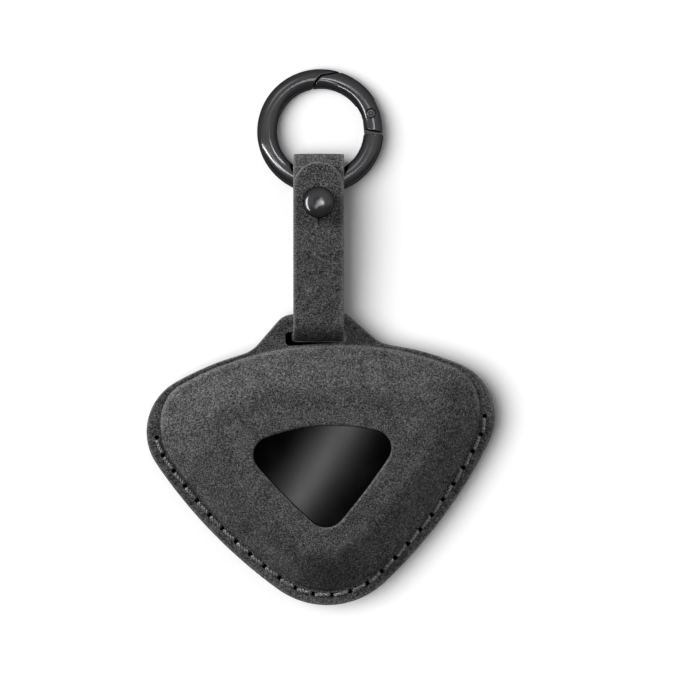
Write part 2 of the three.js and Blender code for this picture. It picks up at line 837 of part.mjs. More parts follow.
// The wedge of the ring that opens, its step lap moved out by one gap and its heel by another
function gateWedge(lapGap, heelGap, relief) {
  const step = polar(RING_R - LAP_STEP_DEPTH, LAP_STEP_ANGLE);
  const nose = polar(RING_R, LAP_NOSE_ANGLE);
  const tip = polar(RING_IN, LAP_TIP_ANGLE);
  const lap = offsetPath(
    roundCorners(
      [beyond(step, nose), { x: step.x, y: step.y, r: LAP_STEP_R }, beyond(step, tip)],
      false,
    ),
    -lapGap,
  );
  const heelTurn = polar(1, HEEL_ANGLE + 90);
  const heelIn = polar(RING_IN, HEEL_ANGLE).addScaledVector(heelTurn, relief - heelGap);
  const heelOut = polar(RING_R, HEEL_ANGLE).addScaledVector(heelTurn, -heelGap);
  const wedge = [
    beyond(heelOut, heelIn),
    beyond(heelIn, heelOut),
    new THREE.Vector2(farOut, farOut),
    ...lap,
  ];
  return prism(wedge, -RING_T, RING_T);
}

// The tongue runs from the ring's heel to a round knuckle on the pin
function tongue() {
  const root = polar(RING_MID, HEEL_ANGLE).addScaledVector(polar(1, HEEL_ANGLE - 90), TONGUE_ROOT);
  const side = leftOf(root, pinAt).multiplyScalar(TONGUE_WIDTH / 2);
  const arm = [
    root.clone().sub(side),
    pinAt.clone().sub(side),
    pinAt.clone().add(side),
    root.clone().add(side),
  ];
  const flat = TONGUE_T / 2;
  return prism(arm, -flat, flat).add(roundBar(pinAt, KNUCKLE_R, -flat, flat));
}

function pinHole() {
  return roundBar(pinAt, PIN_R + PIN_FIT, -RING_T, RING_T);
}

function ringBody() {
  const body = ringSolid().subtract(gateWedge(LAP_GAP, HEEL_GAP, 0));
  return toGeometry(cut(body.add(tongue()), pinHole()));
}

// The spring lies along the band from the knuckle, on the inner side of the pin
const springStart = pinAt
  .clone()
  .addScaledVector(pinAlong, KNUCKLE_R + SPRING_WIRE)
  .addScaledVector(pinInward, SPRING_OFFSET);

function springBore() {
  const length = SPRING_LENGTH + SPRING_WIRE + SPRING_FIT;
  const bore = SPRING_R + SPRING_WIRE / 2 + SPRING_FIT;
  const geometry = new THREE.CylinderGeometry(bore, bore, length, ROUND_SEGMENTS);
  geometry.translate(0, length / 2, 0).rotateZ(degToRad(PIN_ANGLE));
  return toSolid(geometry.translate(springStart.x, springStart.y, 0));
}

function ringGate() {
  const blank = ringSolid().intersect(gateWedge(0, 0, HEEL_RELIEF));
  const end = pinAt.clone().addScaledVector(pinAlong, KNUCKLE_R + FORK_PLAY);
  const across = pinInward.clone().multiplyScalar(RING_BAND);
  const start = pinAt.clone().addScaledVector(pinAlong, -RING_R);
  const fork = [
    start.clone().sub(across),
    end.clone().sub(across),
    end.clone().add(across),
    start.clone().add(across),
  ].reverse();
  return toGeometry(cut(blank, prism(fork, -forkHalf, forkHalf), springBore(), pinHole()));
}

function gatePin() {
  const half = RING_T / 2 + PIN_PROUD;
  return toGeometry(roundBar({ x: 0, y: 0 }, PIN_R, -half, half));
}

function gateSpring() {
  const steps = SPRING_TURNS * STEPS_PER_TURN;
  const axis = new THREE.Vector3(pinAlong.x, pinAlong.y, 0);
  const across = new THREE.Vector3(pinInward.x, pinInward.y, 0);
  const start = new THREE.Vector3(springStart.x, springStart.y, 0);
  const points = [];
  const levels = [];
  for (let k = 0; k <= steps; k++) {
    const a = (2 * Math.PI * k) / STEPS_PER_TURN;
    const spoke = across.clone().multiplyScalar(Math.cos(a)).setZ(Math.sin(a));
    const along = (SPRING_LENGTH * k) / steps;
    points.push(start.clone().addScaledVector(axis, along).addScaledVector(spoke, SPRING_R));
    levels.push(spoke);
  }
  return toGeometry(tube(points, levels, SPRING_WIRE / 2, TUBE_SIDES));
}

// Materials and assembly

const suede = { color: 0x47474a, roughness: 0.95, metalness: 0 };
const strapSuede = { color: 0x55555a, roughness: 0.95, metalness: 0 };
const liningCloth = { color: 0x2b2b2d, roughness: 0.9, metalness: 0 };
const greyThread = { color: 0x8c8c8e, roughness: 0.7, metalness: 0 };
const gunmetal = { color: 0x55565a, roughness: 0.3, metalness: 1 };
const springSteel = { color: 0x9a9ca0, roughness: 0.35, metalness: 1 };
const blackPlastic = { color: 0x18181a, roughness: 0.6, metalness: 0 };
const blackGloss = { color: 0x050506, roughness: 0.08, metalness: 0 };

function piece(parent, name, geometry, look) {
  geometry.computeVertexNormals();
  const mesh = new THREE.Mesh(geometry, new THREE.MeshStandardMaterial(look));
  mesh.name = name;
  parent.add(mesh);
  return mesh;
}

const cover = new THREE.Group();
piece(cover, "back_panel", backPanel(), suede);
piece(cover, "front_panel", frontPanel(), suede);
piece(cover, "back_lining", backLining(), liningCloth);
piece(cover, "front_lining", frontLining(), liningCloth);
piece(cover, "back_seam_thread", seamThread(BACK), greyThread);
piece(cover, "front_seam_thread", seamThread(FRONT), greyThread);
piece(cover, "fob_rear_shell", fobRearShell(), blackPlastic);
piece(cover, "fob_front_shell", fobFrontShell(), blackPlastic);
piece(cover, "fob_face_plate", fobFacePlate(), blackGloss);

// The strap hangs on the bar, a little off the pouch's centre line
const strapGroup = new THREE.Group();
strapGroup.position.set(STRAP_SHIFT, BAR_Y, SEAM_Z);
strapGroup.rotation.z = -degToRad(STRAP_LEAN);
cover.add(strapGroup);
piece(strapGroup, "strap", strap(), strapSuede);
piece(strapGroup, "stud_head", studHead(), gunmetal).position.y = STUD_FROM_BAR;
piece(strapGroup, "stud_screw", studScrew(), gunmetal).position.y = STUD_FROM_BAR;

// The ring turns in the strap's fold and lies with its far side on the table
const ringFarSide = RING_MID - ringPivotShift + RING_R - RING_EDGE_R;
const ringGroup = new THREE.Group();
ringGroup.position.set(RING_SLIDE, ringPivot, 0);
ringGroup.rotation.x = -Math.asin((SEAM_Z - RING_T / 2) / ringFarSide);
strapGroup.add(ringGroup);
const ringCentre = new THREE.Group();
ringCentre.position.y = RING_MID - ringPivotShift;
ringGroup.add(ringCentre);
piece(ringCentre, "ring_body", ringBody(), gunmetal);
piece(ringCentre, "ring_gate", ringGate(), gunmetal);
piece(ringCentre, "gate_pin", gatePin(), gunmetal).position.set(pinAt.x, pinAt.y, 0);
piece(ringCentre, "gate_spring", gateSpring(), springSteel);

export default cover;
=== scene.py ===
"""Fine meshes, finishes and stage for a suede key fob cover, as an add-on that runs as a script.

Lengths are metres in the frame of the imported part: +Z out of the front panel, +Y towards the ring.
"""

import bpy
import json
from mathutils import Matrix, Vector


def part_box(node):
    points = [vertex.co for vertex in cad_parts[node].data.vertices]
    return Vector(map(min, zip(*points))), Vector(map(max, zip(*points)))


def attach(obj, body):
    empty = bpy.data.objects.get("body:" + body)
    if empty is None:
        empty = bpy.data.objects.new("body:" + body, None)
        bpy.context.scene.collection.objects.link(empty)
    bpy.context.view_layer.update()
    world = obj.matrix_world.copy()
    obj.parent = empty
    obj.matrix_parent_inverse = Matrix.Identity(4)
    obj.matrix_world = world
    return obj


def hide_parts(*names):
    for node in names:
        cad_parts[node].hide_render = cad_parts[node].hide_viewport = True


bl_info = {
    "name": "Suede key fob cover",
    "version": (1, 0, 0),
    "blender": (4, 5, 0),
    "location": "View3D > Sidebar > Key cover",
    "description": "Suede, seam, strap, gunmetal ring and gloss fob face of a key fob cover",
    "category": "Object",
}

import json
import math

import bmesh
import bpy
import numpy as np
from bpy.props import FloatProperty, FloatVectorProperty, PointerProperty
from mathutils import Matrix, Vector, kdtree

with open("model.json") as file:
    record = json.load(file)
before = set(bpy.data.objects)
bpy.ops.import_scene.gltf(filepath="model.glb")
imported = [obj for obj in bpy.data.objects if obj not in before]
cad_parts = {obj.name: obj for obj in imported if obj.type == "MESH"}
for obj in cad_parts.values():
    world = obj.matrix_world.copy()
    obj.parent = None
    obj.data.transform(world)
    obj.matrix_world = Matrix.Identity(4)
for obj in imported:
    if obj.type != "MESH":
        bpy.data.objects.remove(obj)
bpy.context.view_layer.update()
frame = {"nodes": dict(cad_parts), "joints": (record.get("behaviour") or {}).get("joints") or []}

MM = 0.001
JOINTS = {joint["name"]: joint for joint in frame["joints"]}

# Wide soft lights: setting, lamp, and whether it leaves out the table or falls on it alone
SUNS = (
    ("key", "key", "EXCLUDE"),
    ("fill", "fill", "EXCLUDE"),
    ("table", "table_light", "INCLUDE"),
)

# Soft tubes on a ceiling 1 m up, seen only in the metal
# Name, place and size in metres, turn in degrees, watts, and the pieces that mirror it
STUD = ("stud_head_fine",)
BODY = ("ring_body_fine",)
GATE = ("ring_gate_fine", "gate_pin_fine")
CEILING = 1
CEILING_TUBES = (
    ("far_tube", (-1.63, 0.033), (2.54, 0.07), 3, 6.4, BODY),
    ("low_tube", (-0.23, 0.17), (0.3, 0.04), 30, 0.27, BODY),
    ("right_tube", (0.41, 0.72), (0.72, 0.05), 56, 0.7, BODY),
    ("gate_far_tube", (-0.95, 0.02), (0.73, 0.08), -16, 2.0, GATE),
    ("gate_low_tube", (-0.45, -0.24), (0.44, 0.06), -47, 0.8, GATE),
    ("gate_near_tube", (0.02, 0.305), (0.304, 0.04), 43, 0.21, GATE),
    ("near_tube", (-0.034, 0.257), (0.15, 0.03), 10, 0.1, BODY),
    ("corner_panel", (-0.41, 0.8), (0.4, 0.4), 0, 0.35, BODY),
    ("side_panel", (-1.75, -0.2), (1.3, 1.7), 0, 38.0, STUD),
    ("middle_panel", (0.12, 0.04), (0.14, 0.12), 0, 0.27, STUD),
)

# Steps along the pouch's top, sides and corners, and across its parts
TOP_STEPS = 220
SIDE_STEPS = 230
CORNER_STEPS = 70
EDGE_STEPS = 5
FLANGE_STEPS = 14
SLOPE_STEPS = 30
CROWN_STEPS = 12
INNER_STEPS = 10
CENTRE_STEPS = 8
ROUND_STEPS = 96
HOLE_STEPS = 20
STRAP_STEP_LENGTH = 0.3 * MM
STRAP_ACROSS = 18
TAIL_STEPS = 28
BODY_STEPS = 260
GATE_STEPS = 100
RING_SECTION_STEPS = 48
STITCH_STEPS = 60
STRAND_SIDES = 8
ARC_STEP = math.radians(5)
DOME_STEPS = 24
LIP_STEPS = 8
LAP_STEPS = 400
DRILL_STEPS = 32
SPRING_TURNS = 5
SPRING_STEPS = 24

# Width and length of each lining's flat cut in metres, and its area in square metres
FRONT_LINING_CUT = ((0.0761, 0.0594), 0.00268)
BACK_LINING_CUT = ((0.0728, 0.0557), 0.00289)

# Moulded form
SLOPE_EASE = 0.4
STRAIGHT_SHARE = (1 + SLOPE_EASE) / 2
SLOPE_CROWDING = 1.7
NEST_LEAN = 0.4
FLANGE_NARROW_FROM = 15
FLANGE_WIDE_FROM = 95
SEAM_END = 93
SEAM_FADE = 12
GROOVE_WIDTH = 0.45 * MM
SEWN_CREASE_LOSS = 0.6
FACE_SINK = 0.35
WELD = 1e-7
UPRIGHT = 1e-6
OVERCUT = 0.2 * MM

# How far the nap is made pale, from 0 to 1: by rubbed wear, and along the crease as a painted highlight
SEAM_EDGE_WEAR = 0.1
CUT_EDGE_WEAR = 0.15
CUT_RIM_WEAR = 0.45
FLANGE_WEAR = 0.25
FLANGE_WORN_SHARE = 0.2
# Pale line along the crease: painted highlight where the moulded step catches light
CREASE_PAINTED_HIGHLIGHT = 0.55
WINDOW_WEAR = 0.12
# Band along the strap's cut edges made pale: rubbed wear, and a painted highlight of the lit rounded
# edge
STRAP_WORN_AND_HIGHLIT = (0.15 * MM, 0.6 * MM)

# Awl holes: share of the hole's size and height from the leather's face, then the foot's share
AWL_LEVELS = ((1.5, 0.3 * MM), (1.2, -0.05 * MM), (1, -0.2 * MM), (0.9, -0.5 * MM))
AWL_FOOT = 0.75

# Thread, as shares of a strand's radius and of a hole's depth and half length
THREAD_LIE = 0.5
THREAD_TWIST = 0.8
THREAD_DIP = 0.85
THREAD_REACH = 0.9

# How far ahead and behind a path's heading is read
SEAM_LOOK = 0.1 * MM
STRAP_LOOK = 0.05 * MM

# Metal parts; the pin's head is shares of its radius and depths under its top
SCREW_ROUND = 0.25 * MM
SCREW_FIT = 0.15 * MM
SCREW_ROOM = 0.4 * MM
BAND_END_SHARES = (0, 0.25, 0.5, 0.75, 0.92)
PIN_DISH = (
    (0, 0.12 * MM),
    (0.35, 0.1 * MM),
    (0.55, 0.02 * MM),
    (0.72, 0),
    (0.9, 0.03 * MM),
    (1, 0.14 * MM),
)

# Table top in metres: half its side, its drop under the part, and where it fades to plain white
TABLE_HALF = 12.0
TABLE_DROP = 0.02 * MM
TABLE_FADE = (0.1, 0.3)

# Strip of light overhead: half width, fall-off and share of its core and glow, then its length
STRIP_CORE = (0.026, 0.7, 0.35)
STRIP_GLOW = (0.064, 2.0, 0.65)
STRIP_MIDDLE = -0.03
STRIP_LENGTH = (0.3, 0.5)


# Settings

def number(label, value, note, **more):
    """A number in the sidebar"""
    return FloatProperty(name=label, description=note, default=value, **more)


def length(label, millimetres, note):
    """A length in the sidebar, written here in millimetres"""
    return number(label, millimetres * MM, note, min=0, unit="LENGTH", precision=5)


def turn(label, degrees, note):
    """An angle in the sidebar, written here in degrees"""
    return number(label, math.radians(degrees), note, subtype="ANGLE")


def tone(label, grey, note):
    """A neutral colour in the sidebar, written here as one linear grey or three values"""
    value = grey if isinstance(grey, tuple) else (grey,) * 3
    return FloatVectorProperty(
        name=label, description=note, default=value, min=0, max=1, size=3, subtype="COLOR"
    )


class PouchSizes(bpy.types.PropertyGroup):
    """Outlines and layers of the moulded pouch"""

    edge_span: length("Edge span", 27.8, "Cut edge's corner arc from the centre line")
    edge_rise: length("Edge rise", 9.9, "Cut edge's corner arc above the origin")
    edge_corner: length("Edge corner", 13.5, "Radius of the two upper corners")
    edge_tip_drop: length("Edge tip drop", 13.1, "Cut edge's tip arc below the origin")
    edge_tip: length("Edge tip", 19.9, "Radius of the tip")
    edge_top_bow: length("Edge top bow", 78, "Radius of the bowed top")
    edge_side_bow: length("Edge side bow", 119, "Radius of the bowed sides")
    shoulder_span: length("Shoulder span", 17.5, "Shoulder's corner arc from the centre line")
    shoulder_rise: length("Shoulder rise", 6.5, "Shoulder's corner arc above the origin")
    shoulder_corner: length("Shoulder corner", 7, "Radius of the shoulder's upper corners")
    shoulder_tip_drop: length("Shoulder tip drop", 10.8, "Shoulder's tip arc below the origin")
    shoulder_tip: length("Shoulder tip", 7, "Radius of the shoulder's tip")
    shoulder_top_bow: length("Shoulder top bow", 60, "Radius of the shoulder's bowed top")
    shoulder_side_bow: length("Shoulder side bow", 120, "Radius of the shoulder's bowed sides")
    window_span: length("Window span", 12.1, "Window's corner arc from the centre line")
    window_rise: length("Window rise", 3.6, "Window's corner arc above the origin")
    window_corner: length("Window corner", 4.2, "Radius of the window's upper corners")
    window_tip_drop: length("Window tip drop", 9.5, "Window's tip arc below the origin")
    window_tip: length("Window tip", 4.8, "Radius of the window's tip")
    window_top_bow: length("Window top bow", 45, "Radius of the window's bowed top")
    window_side_bow: length("Window side bow", 150, "Radius of the window's bowed sides")
    leather: length("Leather", 1.4, "Thickness of a panel")
    lining: length("Lining", 0.5, "Thickness of a lining")
    glue: length("Glue line", 0.15, "Gap between a panel and its lining")
    lining_rim: length("Lining rim", 0.25, "Linings stop this far short of the seam plane")
    lining_setback: length("Lining setback", 0.6, "The lining's window beyond the panel's")
    front_rise: length("Front rise", 6.8, "Flange to shoulder on the front")
    back_rise: length("Back rise", 3.6, "Flange to flat base on the back")
    crown: length("Crown", 0.3, "Shoulder to window edge")
    seam_flange: length("Seam flange", 3.5, "Width of the flange along the stitched sides")
    mouth_flange: length("Mouth flange", 1, "Width of the flange along the mouth")
    cut_round: length("Cut edge round", 0.3, "Rounding of the outer cut edge")
    seam_round: length("Seam edge round", 0.15, "Rounding where the two panels meet")
    window_round: length("Window edge round", 0.45, "Rounding of the window's edge")
    crease_step: length("Crease step", 0.45, "Height of the steep step at the foot of the slope")
    crease_width: length("Crease width", 0.4, "Width of that step")
    crease_dip: length("Crease dip", 0.12, "Depth of the flange pressed in beside that step")


class LugSizes(bpy.types.PropertyGroup):
    """Lug at the mouth, with the slot that leaves a bar for the strap"""

    top: length("Top", 36.75, "Top of the lug above the origin")
    top_half: length("Top half width", 7.3, "Shoulder of the lug from the centre line")
    top_crown: length("Top crown", 0.6, "Rise of the lug's top between its shoulders")
    top_bow: length("Top bow", 25, "Radius of the lug's crowned top")
    shoulder: length("Shoulder", 5, "Radius of the lug's shoulders")
    base_half: length("Base half width", 15.1, "Foot of the lug from the centre line")
    root: length("Root", 8, "Fillet radius at the foot of the lug")
    slot_half: length("Slot half width", 7.5, "Half the width of the slot")
    slot_left: length("Slot left", 7, "Left end of the front panel's slot")
    slot_top: length("Slot top", 32.1, "Top of the slot above the origin")
    slot_bottom: length("Slot bottom", 28.925, "Bottom of the slot above the origin")
    back_slot_bottom: length("Back slot bottom", 29.43, "Bottom of the back panel's slot")
    back_slot_left: length("Back slot left", 5.4, "Left end of the back panel's slot")
    slot_corner: length("Slot corner", 0.9, "Corner radius of the slot")
    slot_lip: length("Slot lip", 0.15, "Rounding of the slot's edges")


class SeamSizes(bpy.types.PropertyGroup):
    """Lockstitch seam along the two lower sides"""

    inset: length("Inset", 2.4, "Seam from the cut edge")
    pitch: length("Pitch", 4.5, "Length of a stitch")
    hole_half_length: length("Hole half length", 0.5, "Half length of an awl hole along the seam")
    hole_half_width: length("Hole half width", 0.45, "Half width of an awl hole across the seam")
    hole_depth: length("Hole depth", 1.1, "Depth of an awl hole")
    strand: length("Strand", 0.23, "Radius of one strand of the thread")
    twist: length("Twist", 1.5, "Length of one turn of the twisted thread")
    slant: length("Slant", 0.22, "Sideways lean of a stitch from hole to hole")
    groove: length("Groove", 0.16, "Depth of the leather drawn in along the seam")


class FaceSizes(bpy.types.PropertyGroup):
    """Gloss plate of the fob behind the window"""

    margin: length("Margin", 1.1, "Plate beyond the window's edge")
    crown: length("Crown", 0.5, "Rise of the plate's middle above its rim")


class StrapSizes(bpy.types.PropertyGroup):
    """One strip, folded round the bar and over the ring, with its tail buttoned on the stud"""

    width: length("Width", 12, "Width of the strip")
    thickness: length("Thickness", 1.2, "Thickness of the strip")
    layer_gap: length("Layer gap", 0.15, "Gap between the tail and the layer under it")
    bar_eye: length("Bar eye", 3.75, "Inside radius of the fold round the bar")
    ring_eye: length("Ring eye", 3.686, "Inside radius of the fold over the ring")
    ring_slack: length("Ring slack", 1.2, "Straight stretch of that fold")
    tail: length("Tail", 37.4, "End of the tail from the bar")
    hem: length("Hem", 22.3, "End of the under layer from the bar")
    step: length("Step", 4, "The tail drops to the bar this far past the hem")
    step_round: length("Step round", 30, "Radius of that bend")
    cut_round: length("Cut edge round", 0.28, "Rounding of the cut edges")
    # Pale cut edges: rubbed wear, strengthened as a painted highlight of the lit rounded edge
    wear_and_highlight: number("Wear", 0.85, "How pale the cut edges are rubbed", min=0, max=1)
    cupping: length("Cupping", 0.1, "Fall of the strip's edges below its middle")
    keyhole: length("Keyhole", 1.9, "Radius of the button hole")
    slit: length("Slit", 5.3, "Keyhole slit from the stud's centre")
    slit_width: length("Slit width", 0.3, "Width of the keyhole slit")


class StudSizes(bpy.types.PropertyGroup):
    """Button stud and its screw"""

    from_bar: length("From bar", 27.8, "Stud's axis from the bar's middle")
    neck: length("Neck", 1.6, "Radius of the neck")
    head: length("Head", 3.7, "Radius of the head")
    height: length("Height", 2.9, "Height of the head")
    lip: length("Lip", 0.9, "Underside of the head up to its widest")
    squareness: number("Squareness", 2.6, "Power of the head's dome, 2 for an oval", min=2)
    seat: length("Seat", 0.1, "Gap between the head and the tail")
    screw_head: length("Screw head", 2.6, "Radius of the screw's head")
    screw_head_height: length("Screw head height", 1, "Height of the screw's head")
    screw_slot: length("Screw slot", 0.7, "Width of the screwdriver slot")
    screw_shank: length("Screw shank", 0.8, "Radius of the screw's shank")
    screw_length: length("Screw length", 2.2, "Length of the shank")


class RingSizes(bpy.types.PropertyGroup):
    """Spring-gate ring"""

    outer: length("Outer radius", 15, "Outside radius of the ring")
    band: length("Band", 4.7, "Width of the band")
    thickness: length("Thickness", 3.8, "Thickness of the band")
    squareness: number("Squareness", 2.2, "Power of the band's section, 2 for an oval", min=2)
    cut_round: length("Cut round", 0.24, "Rounding of the edges at the lap and the heel")
    lap_nose: turn("Lap nose", 70.2, "Where the lap leaves the outside of the ring")
    lap_step: turn("Lap step", 89.7, "Where the lap steps")
    lap_tip: turn("Lap tip", 100.5, "Where the lap meets the inside of the ring")
    lap_depth: length("Lap depth", 2, "Depth of the lap's step")
    lap_round: length("Lap round", 0.4, "Radius of the lap's step")
    lap_gap: length("Lap gap", 0.22, "Gap along the lap")
    heel: turn("Heel", -2, "Where the gate meets the heel")
    heel_gap: length("Heel gap", 0.5, "Gap at the heel")
    heel_relief: length("Heel relief", 0.7, "Heel cut back at its inner corner")
    pin_turn: turn("Pin angle", 18.5, "Where the pin stands on the band")
    pin: length("Pin", 1.1, "Radius of the pin")
    pin_fit: length("Pin fit", 0.15, "Gap round the pin")
    pin_proud: length("Pin proud", 0.05, "Pin beyond the face of the band")
    knuckle: length("Knuckle", 2.2, "Radius of the knuckle")
    tongue: length("Tongue", 1.4, "Thickness of the tongue")
    tongue_outer: length("Tongue outside", 2.3, "Outer side of the tongue from the band's middle")
    tongue_inner: length("Tongue inside", 2, "Inner side of the tongue from the band's middle")
    tongue_root: length("Tongue root", 1.5, "The tongue starts this far inside the heel")
    tongue_play: length("Tongue play", 0.25, "Gap on each side of the tongue")
    fork_play: length("Fork play", 0.9, "End of the fork beyond the knuckle")
    spring: length("Spring", 0.62, "Radius of the gate spring's coil")
    spring_wire: length("Spring wire", 0.28, "Diameter of its wire")
    spring_length: length("Spring length", 3.9, "Length of the coil")
    spring_offset: length("Spring offset", 0.9, "Coil's axis inside the pin's circle")
    spring_fit: length("Spring fit", 0.25, "Gap round the coil")


class FinishColours(bpy.types.PropertyGroup):
    """Colours of the finishes, as linear values"""

    nap_dark: tone("Nap dark", 0.012, "Shaded side of the suede's fibres")
    nap_light: tone("Nap light", 0.285, "Lit side of the suede's fibres")
    # Pale nap for rubbed wear, also used for the painted highlights along the crease and the strap's
    # edges
    nap_rubbed: tone("Nap rubbed", 0.25, "Suede rubbed pale along cut edges and creases")
    # Near-black painted shade for the insides of the awl holes and the slot's walls
    hole_dark: tone("Awl hole", 0.002, "Inside of the awl holes")
    thread: tone("Thread", 0.19, "Grey sewing thread")
    lining: tone("Lining", 0.02, "Knitted lining")
    gunmetal: tone("Gunmetal", (0.18, 0.18, 0.187), "Polished gunmetal plating")
    spring_steel: tone("Spring steel", 0.5, "Drawn spring wire")
    fob_shell: tone("Fob shell", 0.012, "Satin plastic of the fob")
    fob_face: tone("Fob face", 0.001, "Gloss plastic of the fob's face")
    floor: tone("Floor", 0.96, "White table top")
    floor_bounce: tone("Floor bounce", 0.2, "The table top as the cover mirrors it")


class StageSettings(bpy.types.PropertyGroup):
    """Camera and lights"""

    picture_x: length("Picture x", 5.87, "Point under the picture's centre")
    picture_y: length("Picture y", 29.5, "Point under the picture's centre")
    picture_width: length("Picture width", 162.2, "Width of the table that the picture shows")
    lens: number("Lens", 200, "Focal length in millimetres", min=20)
    roll: turn("Roll", 3.75, "The picture's upright leans this far from +Y")
    key_strength: number("Key strength", 3.8, "Wide soft light on the cover")
    key_height: turn("Key height", 18, "Height of the key light above the table")
    key_heading: turn("Key heading", 150, "Key light's direction in the picture, from its right")
    key_spread: turn("Key spread", 30, "Width of the key light as seen from the table")
    fill_strength: number("Fill strength", 1.0, "Weak soft light opposite the key")
    fill_height: turn("Fill height", 20, "Height of the fill light above the table")
    fill_heading: turn("Fill heading", 27, "Fill light's direction in the picture, from its right")
    fill_spread: turn("Fill spread", 35, "Width of the fill light as seen from the table")
    table_strength: number("Table strength", 3.22, "Wide soft light on the table")
    table_height: turn("Table light height", 58, "Height of the table's light above the table")
    table_heading: turn("Table light heading", 183, "Its direction in the picture, from its right")
    table_spread: turn("Table light spread", 54, "Its width as seen from the table")
    sky_high: number("Sky high", 0.34, "Brightness of the room overhead")
    sky_low: number("Sky low", 0.18, "Brightness of the room at the horizon")
    ceiling: number("Ceiling strip", 5.2, "Brightness of the soft strip overhead")
    ceiling_lean: turn("Ceiling strip lean", 33, "Lean of that strip in the picture")


class KeyCover(bpy.types.PropertyGroup):
    """All sizes and colours of the cover"""

    pouch: PointerProperty(type=PouchSizes, name="Pouch", description="Moulded pouch")
    lug: PointerProperty(type=LugSizes, name="Lug", description="Lug and slot")
    seam: PointerProperty(type=SeamSizes, name="Seam", description="Stitched seam")
    face: PointerProperty(type=FaceSizes, name="Face", description="Fob face")
    strap: PointerProperty(type=StrapSizes, name="Strap", description="Buttoned strap")
    stud: PointerProperty(type=StudSizes, name="Stud", description="Button stud")
    ring: PointerProperty(type=RingSizes, name="Ring", description="Spring-gate ring")
    finish: PointerProperty(type=FinishColours, name="Finish", description="Colours")
    stage: PointerProperty(type=StageSettings, name="Stage", description="Camera and lights")


# Frames of the moving pieces, from the joints

def axes(origin, x, z):
    """Matrix of a frame from its origin, x axis and z axis"""
    y = z.cross(x)
    return Matrix.Translation(origin) @ Matrix((x, y, z)).transposed().to_4x4()


def joint_place(name):
    """Position and axis of a joint at rest"""
    joint = JOINTS[name]
    return Vector(joint["pos_m"]), Vector(joint["axis"]).normalized()


def strap_frame():
    """The bar's middle at the origin, +Y along the strap"""
    origin, x = joint_place("strap_swing")
    return axes(origin, x, Vector((0, 0, 1)))


def ring_frame(ring):
    """The ring's centre at the origin, flat in its XY plane"""
    pin, z = joint_place("gate_open")
    x = joint_place("ring_swing")[1]
    turned_frame = axes(Vector(), x, z)
    reach = ring.outer - ring.band / 2
    arm = Vector((reach * math.cos(ring.pin_turn), reach * math.sin(ring.pin_turn), 0))
    return Matrix.Translation(pin - turned_frame @ arm) @ turned_frame


def from_table(heading, height):
    """Unit vector towards a heading and a height above the table"""
    level = math.cos(height)
    return Vector((level * math.cos(heading), level * math.sin(heading), math.sin(height)))


# Curves in a plane

def unit(vectors):
    """Vectors scaled to length one"""
    return vectors / np.linalg.norm(vectors, axis=-1, keepdims=True)


def polar(radius, angle):
    """Points at radii and angles"""
    return np.stack(np.broadcast_arrays(radius * np.cos(angle), radius * np.sin(angle)), axis=-1)


def beyond(start, end):
    """The point as far past the end of a line as the line is long"""
    return 2 * np.asarray(end) - np.asarray(start)


def round_corners(path, closed=False):
    """Points of a path of (x, y, radius) corners, each rounded to an arc"""
    points = []
    count = len(path)
    for i, (x, y, radius) in enumerate(path):
        here = np.array((x, y), float)
        if radius == 0 or (not closed and i in (0, count - 1)):
            points.append(here)
            continue
        back = unit(np.array(path[i - 1][:2]) - here)
        on = unit(np.array(path[(i + 1) % count][:2]) - here)
        half = math.acos(np.clip(back @ on, -1, 1)) / 2
        centre = here + unit(back + on) * radius / math.sin(half)
        start = here + back * radius / math.tan(half) - centre
        end = here + on * radius / math.tan(half) - centre
        first = math.atan2(start[1], start[0])
        sweep = (math.atan2(end[1], end[0]) - first + math.pi) % (2 * math.pi) - math.pi
        steps = max(2, math.ceil(abs(sweep) / ARC_STEP))
        points.extend(centre + polar(radius, first + sweep * np.arange(steps + 1) / steps))
    return np.array(points)


def left_of(along):
    """Directions turned a quarter turn to the left"""
    return np.stack([-along[..., 1], along[..., 0]], axis=-1)


def left_normals(points, closed=False):
    """Unit normals to the left of a path at its points"""
    if closed:
        along = np.roll(points, -1, axis=0) - np.roll(points, 1, axis=0)
    else:
        along = np.gradient(points, axis=0)
    return left_of(unit(along))


def run_length(points):
    """Distance along a path at each of its points"""
    steps = np.linalg.norm(np.diff(points, axis=0), axis=1)
    return np.concatenate([[0], np.cumsum(steps)])


def along_path(points, distances):
    """Points at distances along a path"""
    run = run_length(points)
    columns = [np.interp(distances, run, column) for column in points.T]
    return np.stack(columns, axis=-1)


def headings_along(points, distances, look):
    """Unit directions of a path at distances along it, from a little behind to a little ahead"""
    total = run_length(points)[-1]
    ahead = along_path(points, np.minimum(distances + look, total))
    behind = along_path(points, np.maximum(distances - look, 0))
    return unit(ahead - behind)


def smoothstep(value, low, high):
    """Soft step from 0 to 1 between two values"""
    t = np.clip((value - low) / (high - low), 0, 1)
    return t * t * (3 - 2 * t)


# Meshes

def finished_mesh(name, vertices, faces, rub=None):
    """Closed mesh with its faces pointing out, with how pale each point is made by wear and by painted
    highlight
    """
    mesh = bpy.data.meshes.new(name)
    mesh.from_pydata(np.asarray(vertices).tolist(), [], faces)
    if rub is not None:
        worn_and_highlit = mesh.attributes.new("rub", "FLOAT", "POINT")
        worn_and_highlit.data.foreach_set("value", np.asarray(rub, np.float32))
    work = bmesh.new()
    work.from_mesh(mesh)
    bmesh.ops.remove_doubles(work, verts=work.verts, dist=WELD)
    bmesh.ops.recalc_face_normals(work, faces=work.faces)
    work.to_mesh(mesh)
    work.free()
    return mesh


def quads(index):
    """Faces from each row of point numbers to the next"""
    side = np.roll(index, -1, axis=1)
    return np.stack([index[:-1], side[:-1], side[1:], index[1:]], axis=-1).reshape(-1, 4).tolist()


